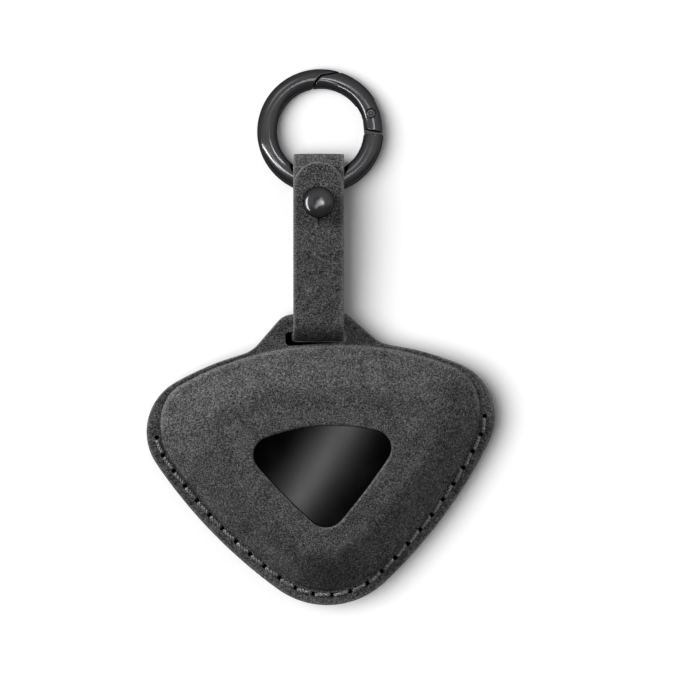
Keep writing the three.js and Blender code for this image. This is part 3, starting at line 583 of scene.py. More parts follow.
def skin(name, rings, closed=False, rub=None):
    """Quads from each ring of points to the next; closed joins the last ring to the first"""
    grid = np.asarray(rings, float)
    index = np.arange(grid.shape[0] * grid.shape[1]).reshape(grid.shape[:2])
    if closed:
        index = np.vstack([index, index[:1]])
    worn_and_highlit = None
    if rub is not None:
        worn_and_highlit = np.concatenate([np.broadcast_to(value, grid.shape[1]) for value in rub])
    return finished_mesh(name, grid.reshape(-1, 3), quads(index), worn_and_highlit)


def lay(outline, height):
    """A flat outline at a height, or at a height for each point"""
    return np.column_stack([outline, np.broadcast_to(height, len(outline))])


def full_turn(steps):
    """Evenly spaced angles round a circle"""
    return 2 * math.pi * np.arange(steps) / steps


def turned(name, profile, steps=ROUND_STEPS):
    """A profile of (radius, height) points turned about +Z"""
    around = full_turn(steps)
    return skin(name, [lay(polar(radius, around), height) for radius, height in profile])


def prism(name, outline, bottom, top):
    """A flat outline raised from one height to another"""
    count = len(outline)
    vertices = np.concatenate([lay(outline, z) for z in (bottom, top)])
    sides = [(i, (i + 1) % count, count + (i + 1) % count, count + i) for i in range(count)]
    return finished_mesh(name, vertices, [*sides, range(count), range(count, 2 * count)])


def circle(radius, at=(0, 0), steps=ROUND_STEPS):
    """Points of a circle"""
    return np.asarray(at) + polar(radius, full_turn(steps))


def strands(name, paths, radius):
    """Round tubes along open paths, with closed ends, as one mesh"""
    around = full_turn(STRAND_SIDES)[:, None]
    vertices = []
    faces = []
    for path in np.asarray(paths, float):
        along = unit(np.gradient(path, axis=0))
        level = np.cross(along, (0, 0, 1))
        upright = np.linalg.norm(level, axis=1, keepdims=True) < UPRIGHT
        level = unit(np.where(upright, (1, 0, 0), level))
        up = np.cross(level, along)
        radii = np.full(len(path), radius)
        radii[[0, -1]] = 0
        spokes = level[:, None] * np.cos(around) + up[:, None] * np.sin(around)
        start = sum(len(block) for block in vertices)
        faces += quads(start + np.arange(len(path) * STRAND_SIDES).reshape(-1, STRAND_SIDES))
        vertices.append((path[:, None] + spokes * radii[:, None, None]).reshape(-1, 3))
    return finished_mesh(name, np.concatenate(vertices), faces)


def carve(mesh, tool, operation="DIFFERENCE"):
    """The mesh cut by a tool mesh, or joined with it"""
    scene = bpy.context.scene
    body = bpy.data.objects.new("carved", mesh)
    cutter = bpy.data.objects.new("carver", tool)
    for part in (body, cutter):
        scene.collection.objects.link(part)
    modifier = body.modifiers.new("cut", "BOOLEAN")
    modifier.operation = operation
    modifier.solver = "MANIFOLD"
    modifier.object = cutter
    shown = body.evaluated_get(bpy.context.evaluated_depsgraph_get())
    result = bpy.data.meshes.new_from_object(shown)
    for part in (body, cutter):
        bpy.data.objects.remove(part)
    if len(result.polygons) == 0:
        raise RuntimeError(f"cutting {mesh.name} left nothing")
    result.name = mesh.name
    return result


def joined(name, meshes):
    """Separate meshes as one, which keeps their material numbers"""
    work = bmesh.new()
    for mesh in meshes:
        work.from_mesh(mesh)
    mesh = bpy.data.meshes.new(name)
    work.to_mesh(mesh)
    work.free()
    return mesh


def keep_rub_and_highlight(mesh, source):
    """Gives a cut mesh the wear and painted highlight of the nearest points of the mesh it was cut from
    """
    tree = kdtree.KDTree(len(source.vertices))
    for vertex in source.vertices:
        tree.insert(vertex.co, vertex.index)
    tree.balance()
    worn_and_highlit = source.attributes["rub"].data
    values = [worn_and_highlit[tree.find(vertex.co)[1]].value for vertex in mesh.vertices]
    old = mesh.attributes.get("rub")
    if old:
        mesh.attributes.remove(old)
    mesh.attributes.new("rub", "FLOAT", "POINT").data.foreach_set("value", values)


def piece(mesh, materials, body, node, place=None, sharp=None):
    """Shows a mesh as the piece that stands for a CAD node and rides on its body"""
    if place is not None:
        mesh.transform(place)
    mesh.shade_smooth()
    if sharp is not None:
        mesh.set_sharp_from_angle(angle=math.radians(sharp))
    while len(mesh.materials) < len(materials):
        mesh.materials.append(None)
    for index, material in enumerate(materials):
        mesh.materials[index] = material
    shown = bpy.data.objects.new(f"{node}_fine", mesh)
    bpy.context.scene.collection.objects.link(shown)
    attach(shown, body)
    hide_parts(node)
    return shown


# Materials

def fill_socket(tree, socket, value):
    """Sets a socket to a value, or links it to another node's socket"""
    if isinstance(value, bpy.types.NodeSocket):
        tree.links.new(value, socket)
    else:
        socket.default_value = value


def add_node(tree, kind, sockets=None, **values):
    """A shader node with its sockets filled and its own values set"""
    node = tree.nodes.new(kind)
    for name, value in values.items():
        setattr(node, name, value)
    for name, value in (sockets or {}).items():
        fill_socket(tree, node.inputs[name], value)
    return node


def blank_material(name):
    """A new material's node tree, its surface shader and its object coordinates"""
    material = bpy.data.materials.new(name)
    material.use_nodes = True
    tree = material.node_tree
    shader = tree.nodes["Principled BSDF"]
    coordinates = add_node(tree, "ShaderNodeTexCoord").outputs["Object"]
    return material, tree, shader, coordinates


def opaque(colour):
    """A colour with full alpha"""
    return (*colour, 1)


def noise(tree, coordinates, scale, detail, roughness=0.5, distortion=0.0):
    """Grey noise with its cell size set by scale, in cells to the metre"""
    sockets = {"Vector": coordinates, "Scale": scale, "Detail": detail}
    sockets |= {"Roughness": roughness, "Distortion": distortion}
    return add_node(tree, "ShaderNodeTexNoise", sockets).outputs["Fac"]


def maths(tree, operation, first, second):
    """One sum on two values"""
    return add_node(tree, "ShaderNodeMath", {0: first, 1: second}, operation=operation).outputs[0]


def times(tree, first, second):
    """Two values multiplied"""
    return maths(tree, "MULTIPLY", first, second)


def remap(tree, value, low, high, to_low, to_high):
    """A value moved from one range to another, and kept inside it"""
    sockets = {"Value": value, "From Min": low, "From Max": high}
    sockets |= {"To Min": to_low, "To Max": to_high}
    return add_node(tree, "ShaderNodeMapRange", sockets).outputs["Result"]


def blend_colour(tree, share, first, second):
    """Two colours mixed by a share, by number because the node's socket names repeat"""
    sockets = {0: share, 6: first, 7: second}
    return add_node(tree, "ShaderNodeMix", sockets, data_type="RGBA").outputs[2]


def shades(tree, share, colour, deep, light=1):
    """A colour between a deep and a light shade of itself"""
    pair = [opaque([scale * value for value in colour]) for scale in (deep, light)]
    return blend_colour(tree, share, *pair)


def bump(tree, height, strength, distance):
    """Normal of a surface raised by a height"""
    sockets = {"Height": height, "Strength": strength, "Distance": distance}
    return add_node(tree, "ShaderNodeBump", sockets).outputs["Normal"]


def set_inputs(tree, shader, **values):
    """Fills a shader's sockets, written with underscores for spaces"""
    for name, value in values.items():
        fill_socket(tree, shader.inputs[name.replace("_", " ")], value)


def suede(name, finish):
    """Short-napped suede: fine fibres over soft patches, made pale where the mesh says so, by wear and
    by painted highlight
    """
    material, tree, shader, coordinates = blank_material(name)
    fibres = noise(tree, coordinates, 3500, 1, distortion=0.3)
    clumps = noise(tree, coordinates, 1500, 1)
    patches = noise(tree, coordinates, 260, 3, 0.6)
    nap = maths(tree, "ADD", times(tree, fibres, 0.65), times(tree, clumps, 0.2))
    nap = maths(tree, "ADD", nap, times(tree, patches, 0.15))
    share = maths(tree, "POWER", remap(tree, nap, 0.3, 0.7, 0, 1), 2.0)
    colour = blend_colour(tree, share, opaque(finish.nap_dark), opaque(finish.nap_light))
    worn_and_highlit = add_node(tree, "ShaderNodeAttribute", attribute_name="rub").outputs["Fac"]
    # Pale nap where the mesh is worn and where a highlight is painted
    patchy_wear_and_highlight = times(tree, worn_and_highlit, remap(tree, fibres, 0.35, 0.6, 0.25, 1))
    set_inputs(
        tree,
        shader,
        Base_Color=blend_colour(tree, patchy_wear_and_highlight, colour, opaque(finish.nap_rubbed)),
        Roughness=0.95,
        Specular_IOR_Level=0.15,
        Sheen_Weight=0.05,
        Sheen_Roughness=0.45,
        Sheen_Tint=(0.5, 0.5, 0.5, 1),
        Normal=bump(tree, nap, 0.5, 0.2 * MM),
    )
    return material


def awl_hole(finish):
    """Near-black painted shade inside the stitch holes and on the slot's walls"""
    material, tree, shader, coordinates = blank_material("awl_hole")
    colour = shades(tree, noise(tree, coordinates, 3000, 2), finish.hole_dark, 1, 2)
    set_inputs(tree, shader, Base_Color=colour, Roughness=1.0, Specular_IOR_Level=0.0)
    return material


def sewing_thread(finish):
    """Grey twisted thread with a slight lustre"""
    material, tree, shader, coordinates = blank_material("sewing_thread")
    fibres = noise(tree, coordinates, 4200, 3, 0.6)
    colour = shades(tree, remap(tree, fibres, 0.48, 0.66, 0, 1), finish.thread, 0.5, 4)
    normal = bump(tree, fibres, 0.4, 0.05 * MM)
    set_inputs(tree, shader, Base_Color=colour, Normal=normal)
    set_inputs(tree, shader, Roughness=0.55, Specular_IOR_Level=0.5, Sheen_Weight=0.3)
    return material


def knitted_lining(finish):
    """Fine knit: rows of small loops"""
    material, tree, shader, coordinates = blank_material("knitted_lining")
    sockets = {"Vector": coordinates, "Scale": 900.0, "Distortion": 1.2, "Detail": 1.0}
    loops = add_node(tree, "ShaderNodeTexWave", sockets).outputs["Fac"]
    colour = shades(tree, loops, finish.lining, 0.5, 1.6)
    normal = bump(tree, loops, 0.5, 0.08 * MM)
    set_inputs(tree, shader, Base_Color=colour, Normal=normal)
    set_inputs(tree, shader, Roughness=0.9, Specular_IOR_Level=0.2, Sheen_Weight=0.2)
    return material


def plated_metal(name, colour, low, high):
    """Dark plated metal, dull at its grazing rims, clouded between two roughnesses and scratched"""
    material, tree, shader, coordinates = blank_material(name)
    clouds = noise(tree, coordinates, 260, 4, 0.6)
    hairlines = noise(tree, coordinates, 1900, 2)
    set_inputs(
        tree,
        shader,
        Base_Color=shades(tree, clouds, colour, 0.82),
        Metallic=1.0,
        Roughness=remap(tree, clouds, 0.3, 0.7, low, high),
        Specular_Tint=opaque([0.35 * value for value in colour]),
        Normal=bump(tree, hairlines, 0.08, 0.03 * MM),
    )
    return material


def satin_plastic(finish):
    """Moulded plastic with a fine spark-eroded grain"""
    material, tree, shader, coordinates = blank_material("satin_plastic")
    grain = noise(tree, coordinates, 2600, 2)
    colour = shades(tree, grain, finish.fob_shell, 0.8)
    normal = bump(tree, grain, 0.25, 0.03 * MM)
    set_inputs(tree, shader, Base_Color=colour, Roughness=0.5, Normal=normal)
    return material


def gloss_plastic(finish):
    """Piano-black plastic with faint wiping marks"""
    material, tree, shader, coordinates = blank_material("gloss_plastic")
    wipes = noise(tree, coordinates, 90, 3, 0.55)
    colour = shades(tree, wipes, finish.fob_face, 0.6)
    dull = remap(tree, wipes, 0.3, 0.7, 0.07, 0.11)
    set_inputs(tree, shader, Base_Color=colour, Roughness=dull, Specular_IOR_Level=0.35)
    return material


# Pouch

class Plan:
    """Outlines of the pouch seen from the front, as matching rings of points"""

    def __init__(self, pouch, lug):
        self.pouch = pouch
        self.lug = lug
        self.seam_height = pouch.leather + pouch.back_rise
        self.edge = self.stations("edge")
        self.shoulder = self.stations("shoulder")
        self.window = self.stations("window")
        heading = self.edge[2] - math.pi / 2
        self.from_top = np.abs(np.degrees((heading + math.pi) % (2 * math.pi) - math.pi))
        widen = smoothstep(self.from_top, FLANGE_NARROW_FROM, FLANGE_WIDE_FROM)
        self.flange = pouch.mouth_flange + (pouch.seam_flange - pouch.mouth_flange) * widen
        self.cut_edge = self.lugged_edge()
        self.inward = left_normals(self.cut_edge, closed=True)

    def stations(self, prefix):
        """Arc centres, radii and headings round one of the three triangles"""
        def size(name):
            return getattr(self.pouch, f"{prefix}_{name}")

        span, rise = size("span"), size("rise")
        at = np.array([(span, rise), (-span, rise), (0, -size("tip_drop"))])
        radii = [size("corner"), size("corner"), size("tip")]
        bows = [size("top_bow"), size("side_bow"), size("side_bow")]
        steps = [TOP_STEPS, SIDE_STEPS, SIDE_STEPS]
        sides = range(3)
        centres = [
            self.bow_centre(at[i], at[i - 2], radii[i], radii[i - 2], bows[i]) for i in sides
        ]
        starts = [math.atan2(*(at[i] - centres[i])[::-1]) for i in sides]
        ends = [math.atan2(*(at[i - 2] - centres[i])[::-1]) for i in sides]
        arcs = []
        for i in sides:
            arcs.append((centres[i], bows[i], starts[i], ends[i], steps[i]))
            arcs.append((at[i - 2], radii[i - 2], ends[i], starts[i - 2], CORNER_STEPS))
        blocks = [self.arc(*values) for values in arcs]
        return [np.concatenate(part) for part in zip(*blocks)]

    @staticmethod
    def bow_centre(start, end, start_radius, end_radius, bow):
        """Centre of a bowed side that touches both corner arcs"""
        line = end - start
        gap = np.linalg.norm(line)
        line = line / gap
        reach = bow - start_radius
        along = (reach**2 - (bow - end_radius) ** 2 + gap**2) / (2 * gap)
        across = math.sqrt(reach**2 - along**2)
        return start + line * along + left_of(line) * across

    @staticmethod
    def arc(centre, radius, start, end, steps):
        """Stations along one arc, its last point left to the next"""
        sweep = (end - start) % (2 * math.pi)
        headings = start + sweep * np.arange(steps) / steps
        return np.tile(centre, (steps, 1)), np.full(steps, radius), headings

    @staticmethod
    def ring(stations, inset):
        """Points of an outline moved in by an inset, which may vary round it"""
        centre, radius, heading = stations
        return centre + polar(radius - inset, heading)

    def top_edge(self, x):
        """Height of the bowed top edge at a distance from the centre line"""
        centre, radius = self.edge[0][0], self.edge[1][0]
        return centre[1] + math.sqrt(radius**2 - x**2)

    def lugged_edge(self):
        """The cut edge of a panel, with the lug standing on its top"""
        lug = self.lug
        points = self.ring(self.edge, 0)
        foot = lug.base_half + lug.root
        right = [
            (foot, self.top_edge(foot), 0),
            (lug.base_half, self.top_edge(lug.base_half), lug.root),
            (lug.top_half, lug.top - lug.top_crown, lug.shoulder),
        ]
        left = [(-x, y, radius) for x, y, radius in reversed(right)]
        path = round_corners([*right, (0, lug.top, lug.top_bow), *left])
        under = np.flatnonzero((np.abs(points[:, 0]) <= foot) & (points[:, 1] > 0))
        points[under] = along_path(path, np.linspace(0, run_length(path)[-1], len(under)))
        return points

    def edge_ring(self, inset):
        """The lugged cut edge moved in by a small inset"""
        return self.cut_edge + self.inward * inset

    def dome_ring(self, rise, depth, t):
        """Outline and height of a nested skin on the slope, from its foot (0) to the shoulder (1)"""
        step = depth * NEST_LEAN
        low = self.ring(self.edge, self.flange + step)
        high = self.ring(self.shoulder, step)
        height = self.pouch.leather - depth + rise * swell(t)
        return low + (high - low) * t, height

    def seam_run(self, inset):
        """Points along the seam line"""
        return self.ring(self.edge, inset)[self.from_top >= SEAM_END]


def swell(t):
    """Share of the rise up the moulded slope: straight at first, then rounding over to level"""
    u = max(t - SLOPE_EASE, 0) / (1 - SLOPE_EASE)
    rounding = (1 - SLOPE_EASE) * (u - u**3 + u**4 / 2)
    return (min(t, SLOPE_EASE) + rounding) / STRAIGHT_SHARE


def slope_shares(steps):
    """Shares of the slope, close together at its foot where the crease is"""
    return (np.arange(1, steps + 1) / steps) ** SLOPE_CROWDING


def quarter_turns(first=0):
    """Angles of the steps round a rounded edge"""
    return [math.pi / 2 * k / EDGE_STEPS for k in range(first, EDGE_STEPS + 1)]


def outer_skin(plan, rise, seam):
    """Rings and wear, with a painted highlight along the crease, from the seam plane, round the cut
    edge and the flange, to the shoulder
    """
    pouch = plan.pouch
    rings = []
    wear_and_highlight = []
    for inset, height in ((1, 0), (0.3, 0.3), (0, 1)):
        rings.append(lay(plan.edge_ring(inset * pouch.seam_round), height * pouch.seam_round))
        wear_and_highlight.append(SEAM_EDGE_WEAR)
    for bend in quarter_turns():
        edge = plan.edge_ring(pouch.cut_round * (1 - math.cos(bend)))
        rings.append(lay(edge, pouch.leather - pouch.cut_round * (1 - math.sin(bend))))
        wear_and_highlight.append(CUT_EDGE_WEAR + CUT_RIM_WEAR * math.sin(bend) ** 2)
    edge = plan.edge_ring(pouch.cut_round)
    base = plan.dome_ring(rise, 0, 0)[0]
    sewn = smoothstep(plan.from_top, SEAM_END - SEAM_FADE, SEAM_END)
    for k in range(1, FLANGE_STEPS):
        share = k / FLANGE_STEPS
        inset = pouch.cut_round + share * (plan.flange - pouch.cut_round)
        drawn = seam.groove * sewn * np.exp(-(((inset - seam.inset) / GROOVE_WIDTH) ** 2))
        from_crease = (plan.flange - inset) / pouch.crease_width
        pressed = pouch.crease_dip * np.exp(-(from_crease**2))
        rings.append(lay(edge + (base - edge) * share, pouch.leather - drawn - pressed))
        wear_and_highlight.append(FLANGE_WEAR * (1 - smoothstep(share, 0, FLANGE_WORN_SHARE)))
    rings.append(lay(base, pouch.leather - pouch.crease_dip))
    wear_and_highlight.append(0)
    width = np.linalg.norm(plan.dome_ring(rise, 0, 1)[0] - base, axis=1)
    for t in slope_shares(SLOPE_STEPS):
        outline, height = plan.dome_ring(rise, 0, t)
        climb = smoothstep(t * width, 0, pouch.crease_width)
        step = pouch.crease_step * climb * (1 - SEWN_CREASE_LOSS * sewn)
        lift = (step - pouch.crease_dip * (1 - climb)) * (1 - t) ** 2
        rings.append(lay(outline, height + lift))
        # Painted highlight along the crease, left off along the sewn sides
        from_crease = t * width.mean() / pouch.crease_width - 1
        wear_and_highlight.append(CREASE_PAINTED_HIGHLIGHT * (1 - sewn) * math.exp(-(from_crease**2)))
    return rings, wear_and_highlight


def inner_skin(plan, rise):
    """Rings from the shoulder down the inside of a panel to the seam plane"""
    shares = np.linspace(1, 0, INNER_STEPS + 1)
    return [lay(*plan.dome_ring(rise, plan.pouch.leather, t)) for t in shares]


def on_side(plan, rings, side):
    """Rings with heights from the seam plane, placed on the front (1) or the back (-1)"""
    placed = np.array(rings)
    placed[..., 2] = plan.seam_height + side * placed[..., 2]
    return placed


def front_shell(plan, seam):
    """Moulded front panel with its window, before its holes"""
    pouch = plan.pouch
    rings, wear_and_highlight = outer_skin(plan, pouch.front_rise, seam)
    shoulder, height = plan.dome_ring(pouch.front_rise, 0, 1)
    top = height + pouch.crown
    rim = plan.ring(plan.window, -pouch.window_round)
    for k in range(1, CROWN_STEPS + 1):
        share = k / CROWN_STEPS
        level = height + pouch.crown * smoothstep(share, 0, 1)
        rings.append(lay(shoulder + (rim - shoulder) * share, level))
        wear_and_highlight.append(0)
    for bend in quarter_turns(1):
        fall = pouch.window_round * (1 - math.cos(bend))
        edge = plan.ring(plan.window, pouch.window_round * (math.sin(bend) - 1))
        rings.append(lay(edge, top - fall))
        wear_and_highlight.append(WINDOW_WEAR)
    rings.append(lay(plan.ring(plan.window, 0), top - pouch.leather))
    wear_and_highlight.append(0)
    inside = inner_skin(plan, pouch.front_rise)
    wear_and_highlight.extend([0] * len(inside))
    return skin("front_panel", on_side(plan, rings + inside, 1), closed=True, rub=wear_and_highlight)


def back_shell(plan, seam):
    """Moulded back panel with its flat base, before its holes"""
    pouch = plan.pouch
    rings, wear_and_highlight = outer_skin(plan, pouch.back_rise, seam)
    base, height = plan.dome_ring(pouch.back_rise, 0, 1)
    inner, inner_height = plan.dome_ring(pouch.back_rise, pouch.leather, 1)
    shares = [1 - k / CENTRE_STEPS for k in range(1, CENTRE_STEPS + 1)]
    outside = [lay(base * share, height) for share in shares]
    inside = [lay(inner * share, inner_height) for share in reversed(shares)]
    inside += inner_skin(plan, pouch.back_rise)
    rings = inside + rings + outside
    wear_and_highlight = [0] * len(inside) + wear_and_highlight + [0] * len(outside)
    return skin("back_panel", on_side(plan, rings, -1), rub=wear_and_highlight)


def seam_holes(plan, seam):
    """The seam line and the distances along it of the awl holes"""
    run = plan.seam_run(seam.inset)
    total = run_length(run)[-1]
    return run, np.linspace(0, total, round(total / seam.pitch) + 1)


def paint_cut_shade(tool):
    """Gives what a tool cuts the second material, the near-black painted shade"""
    tool.polygons.foreach_set("material_index", np.ones(len(tool.polygons), np.int32))
    return tool


def awl_tool(plan, seam, side):
    """Cutter for all the awl holes of one panel, flared where the leather is drawn in; painted shade
    inside
    """
    run, distances = seam_holes(plan, seam)
    top = plan.pouch.leather
    foot = [(share, -seam.hole_depth) for share in (AWL_FOOT, 0)]
    levels = [(0, AWL_LEVELS[0][1]), *AWL_LEVELS, *foot]
    around = full_turn(HOLE_STEPS)
    tools = []
    for at, along in zip(along_path(run, distances), headings_along(run, distances, SEAM_LOOK)):
        oval = np.outer(np.cos(around), along) * seam.hole_half_length
        oval = oval + np.outer(np.sin(around), left_of(along)) * seam.hole_half_width
        rings = [lay(at + oval * scale, top + drop) for scale, drop in levels]
        tools.append(skin("awl", on_side(plan, rings, side)))
    return paint_cut_shade(joined("awl_holes", tools))


def slot_tool(plan, side):
    """Cutter for the lug's slot, flared to round its edges; the back's closes in on the strap. Its
    walls and rounded lips get the painted shade
    """
    lug = plan.lug
    leather = plan.pouch.leather
    lip = lug.slot_lip
    right_x, right_y, _ = JOINTS["strap_swing"]["axis"]
    lean = -right_y / right_x
    rings = []
    for k in range(-EDGE_STEPS, EDGE_STEPS + 1):
        bend = math.pi / 2 * abs(k) / EDGE_STEPS
        grow = lip * (1 - math.cos(bend))
        fall = lip * math.sin(bend)
        height = leather - lip + fall if k >= 0 else lip - fall
        closing = 0 if side > 0 else height / leather
        left = -lug.slot_left + closing * (lug.slot_left - lug.back_slot_left) - grow
        right = lug.slot_half + grow
        bottom = lug.slot_bottom + closing * (lug.back_slot_bottom - lug.slot_bottom) - grow
        top = lug.slot_top + grow
        corners = [(right, bottom), (right, top), (left, top), (left, bottom)]
        outline = round_corners([(*corner, lug.slot_corner) for corner in corners], closed=True)
        outline[:, 1] -= closing * lean * outline[:, 0] * (top - outline[:, 1]) / (top - bottom)
        rings.append(lay(outline, height))
    first, last = rings[0][:, :2], rings[-1][:, :2]
    middle = first.mean(axis=0) + 0 * first
    below = [lay(outline, -OVERCUT) for outline in (middle, first)]
    above = [lay(outline, leather + OVERCUT) for outline in (last, middle)]
    return paint_cut_shade(skin("slot", on_side(plan, [*below, *rings, *above], side)))


def panel(plan, seam, side, materials):
    """One finished panel, with its slot and awl holes"""
    shell = front_shell(plan, seam) if side > 0 else back_shell(plan, seam)
    source = shell.copy()
    slot = slot_tool(plan, side)
    holes = awl_tool(plan, seam, side)
    for mesh in (shell, slot, holes):
        for material in materials:
            mesh.materials.append(material)
    mesh = carve(carve(shell, slot), holes)
    keep_rub_and_highlight(mesh, source)
    return mesh


def stitched_thread(plan, seam, side):
    """Twisted thread of one face of the seam, each stitch up in one hole and down in the next"""
    run, distances = seam_holes(plan, seam)
    lie = plan.pouch.leather + THREAD_LIE * seam.strand
    dip = plan.pouch.leather - THREAD_DIP * seam.hole_depth
    reach = THREAD_REACH * seam.hole_half_length
    paths = []
    for start, end in zip(distances[:-1], distances[1:]):
        where = np.linspace(start + reach, end - reach, STITCH_STEPS)
        middle = along_path(run, where)
        across = left_normals(middle)
        from_hole = np.minimum(where - start, end - where)
        sink = 1 - smoothstep(from_hole, reach, 2 * reach)
        height = lie + (dip - lie) * sink
        lean = seam.slant * (2 * (where - start) / (end - start) - 1)
        turn_at = 2 * math.pi * where / seam.twist
        for half_turn in (0, math.pi):
            sideways = lean + THREAD_TWIST * seam.strand * np.cos(turn_at + half_turn)
            lift = THREAD_TWIST * seam.strand * np.sin(turn_at + half_turn)
            paths.append(lay(middle + across * sideways[:, None], height + lift))
    return strands("thread", on_side(plan, paths, side), seam.strand)


def lining_shell(plan, rise, side):
    """Lining of one panel: a skin of cloth that follows the moulded inside"""
    pouch = plan.pouch
    outer = pouch.leather + pouch.glue
    inner = outer + pouch.lining

    def slope(depth):
        first = (depth - pouch.leather + pouch.lining_rim) / rise * STRAIGHT_SHARE
        return [lay(*plan.dome_ring(rise, depth, t)) for t in np.linspace(first, 1, INNER_STEPS)]

    rings = slope(outer)
    back = slope(inner)[::-1]
    if side > 0:
        hole = plan.ring(plan.window, -pouch.lining_setback)
        top = pouch.leather + rise + pouch.crown
        rings += [lay(hole, top - outer), lay(hole, top - inner)]
        return skin("front_lining", on_side(plan, rings + back, side), closed=True)
    centre = [lay(0 * ring[:, :2], ring[0, 2]) for ring in (rings[-1], back[0])]
    return skin("back_lining", on_side(plan, rings + centre + back, side), closed=True)


def face_plate(plan, face):
    """Gloss plate behind the window, a little crowned"""
    low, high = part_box("fob_face_plate")
    outline = plan.ring(plan.window, -face.margin)
    middle = np.array((0, (low.y + high.y) / 2))
    reach = np.linalg.norm(outline - middle, axis=1).max()
    rings = [lay(middle + 0 * outline, low.z), lay(outline, low.z)]
    for share in np.linspace(1, 0, CENTRE_STEPS * 3):
        points = middle + (outline - middle) * share
        distance = np.linalg.norm(points - middle, axis=1) / reach
        rings.append(lay(points, high.z + face.crown * (1 - distance**2) - face.crown * FACE_SINK))
    return skin("face_plate", rings)


# Strap

def touching_line(start_radius, end, end_radius, side):
    """Normal of the line that touches a circle at the origin and another circle, on one side"""
    gap = np.linalg.norm(end)
    along = np.asarray(end) / gap
    lean = (start_radius - end_radius) / gap
    return along * lean + side * left_of(along) * math.sqrt(1 - lean**2)


def strap_layers(strap):
    """Heights above the bar of the middle of the under layer and of the tail"""
    under = strap.ring_eye + strap.thickness / 2
    return under, under + strap.thickness + strap.layer_gap


def strap_line(strap, ring_pivot):
    """Middle line of the strip in the plane of its length, from the hem to the tail's end"""
    fold = strap.bar_eye + strap.thickness / 2
    under, tail = strap_layers(strap)
    far = ring_pivot + strap.ring_slack
    end = far + under
    step = (strap.hem - strap.step, tail)
    front = touching_line(fold, step, 0, 1)
    rear = touching_line(fold, (far, 0), under, -1)

    def crossing(normal, x):
        return (fold - normal[0] * x) / normal[1]

    path = [
        (strap.hem, under, 0),
        (end, under, under),
        (end, crossing(rear, end), under),
        (-fold, crossing(rear, -fold), fold),
        (-fold, crossing(front, -fold), fold),
        (*step, strap.step_round),
        (strap.tail, tail, 0),
    ]
    return round_corners(path)


def strip_section(strap):
    """Across the strip: inset from its cut edge, share of its width and height, all round"""
    half = strap.thickness / 2
    bend = np.linspace(0, math.pi / 2, EDGE_STEPS + 1)
    inset = strap.cut_round * (1 - np.sin(bend))
    rise = half - strap.cut_round * (1 - np.cos(bend))
    flat = np.linspace(1, -1, STRAP_ACROSS)[1:-1]
    quarter = [(i, 1, z) for i, z in zip(inset, rise)][::-1]
    top = [(strap.cut_round, share, half) for share in flat]
    upper = quarter + top + [(i, -1, z) for i, _, z in reversed(quarter)]
    lower = [(i, -share, -z) for i, share, z in upper]
    return np.array(upper + lower)


def strap_strip(strap, ring_pivot):
    """The whole strip with its folds and its round tail"""
    line = strap_line(strap, ring_pivot)
    total = run_length(line)[-1]
    half = strap.width / 2
    start = total - half
    inset, share, height = strip_section(strap).T
    reach = half - inset
    stations = []
    for bend in np.linspace(0, math.pi / 2, EDGE_STEPS)[::-1]:
        run, shrink = strap.cut_round * (1 - polar(1, bend)[::-1])
        stations.append((run, 0, shrink))
    stations += [(run, 0, 0) for run in np.arange(strap.cut_round, start, STRAP_STEP_LENGTH)]
    stations += [(start, bend, 0) for bend in np.linspace(0, math.pi / 2, TAIL_STEPS)]
    rings = []
    worn_and_highlit = []
    for run, bend, shrink in stations:
        across = share * reach * math.cos(bend) * (1 - shrink / half)
        where = run + reach * math.sin(bend)
        shrunk = height * (1 - shrink / (strap.thickness / 2))
        cup = strap.cupping * (across / half) ** 2
        normal = left_of(headings_along(line, where, STRAP_LOOK))
        in_plane = along_path(line, where) + normal * (shrunk - cup)[:, None]
        rings.append(np.column_stack([across, in_plane]))
        # Cut edges made pale: rubbed wear and a painted highlight of the lit rounded edge
        from_edge = half - np.hypot(across, np.maximum(where - start, 0))
        worn_and_highlit.append(strap.wear_and_highlight * (1 - smoothstep(from_edge, *STRAP_WORN_AND_HIGHLIT)))
    rings.insert(0, rings[0].mean(axis=0) + 0 * rings[0])
    worn_and_highlit.insert(0, 0)
    return skin("strap", rings, rub=worn_and_highlit)


def keyhole_tool(strap, stud):
    """Cutters for the button hole through both layers and the slit in the tail"""
    under, tail = strap_layers(strap)
    top = tail + strap.thickness
    hole = prism("hole", circle(strap.keyhole, (0, stud.from_bar)), under - strap.thickness, top)
    half = strap.slit_width / 2
    end = stud.from_bar - strap.slit
    corners = [(half, end), (half, stud.from_bar), (-half, stud.from_bar), (-half, end)]
    slit = prism("slit", corners, tail - (strap.thickness + strap.layer_gap) / 2, top)
    return hole, slit


# Stud and ring

def stud_profile(strap, stud):
    """Height of the stud's foot above the bar, and the head's turned profile"""
    under, tail = strap_layers(strap)
    foot = under - strap.thickness / 2 - stud.seat
    head = tail + strap.thickness / 2 + stud.seat
    crown = stud.height - stud.lip
    power = 2 / stud.squareness
    profile = [(stud.neck, foot), (stud.neck, head)]
    half_lip = stud.lip / 2
    for bend in np.linspace(-math.pi / 2, 0, LIP_STEPS)[:-1]:
        radius = stud.head - half_lip + half_lip * math.cos(bend)
        profile.append((radius, head + stud.lip * (1 + math.sin(bend))))
    for bend in np.linspace(0, math.pi / 2, DOME_STEPS)[:-1]:
        rise = stud.lip + crown * math.sin(bend) ** power
        profile.append((stud.head * math.cos(bend) ** power, head + rise))
    bore = stud.screw_shank + SCREW_FIT
    deep = foot + stud.screw_length + SCREW_ROOM
    inside = [(0, deep), (bore, deep), (bore, foot)]
    return foot, [*inside, *profile, (0, head + stud.height)]


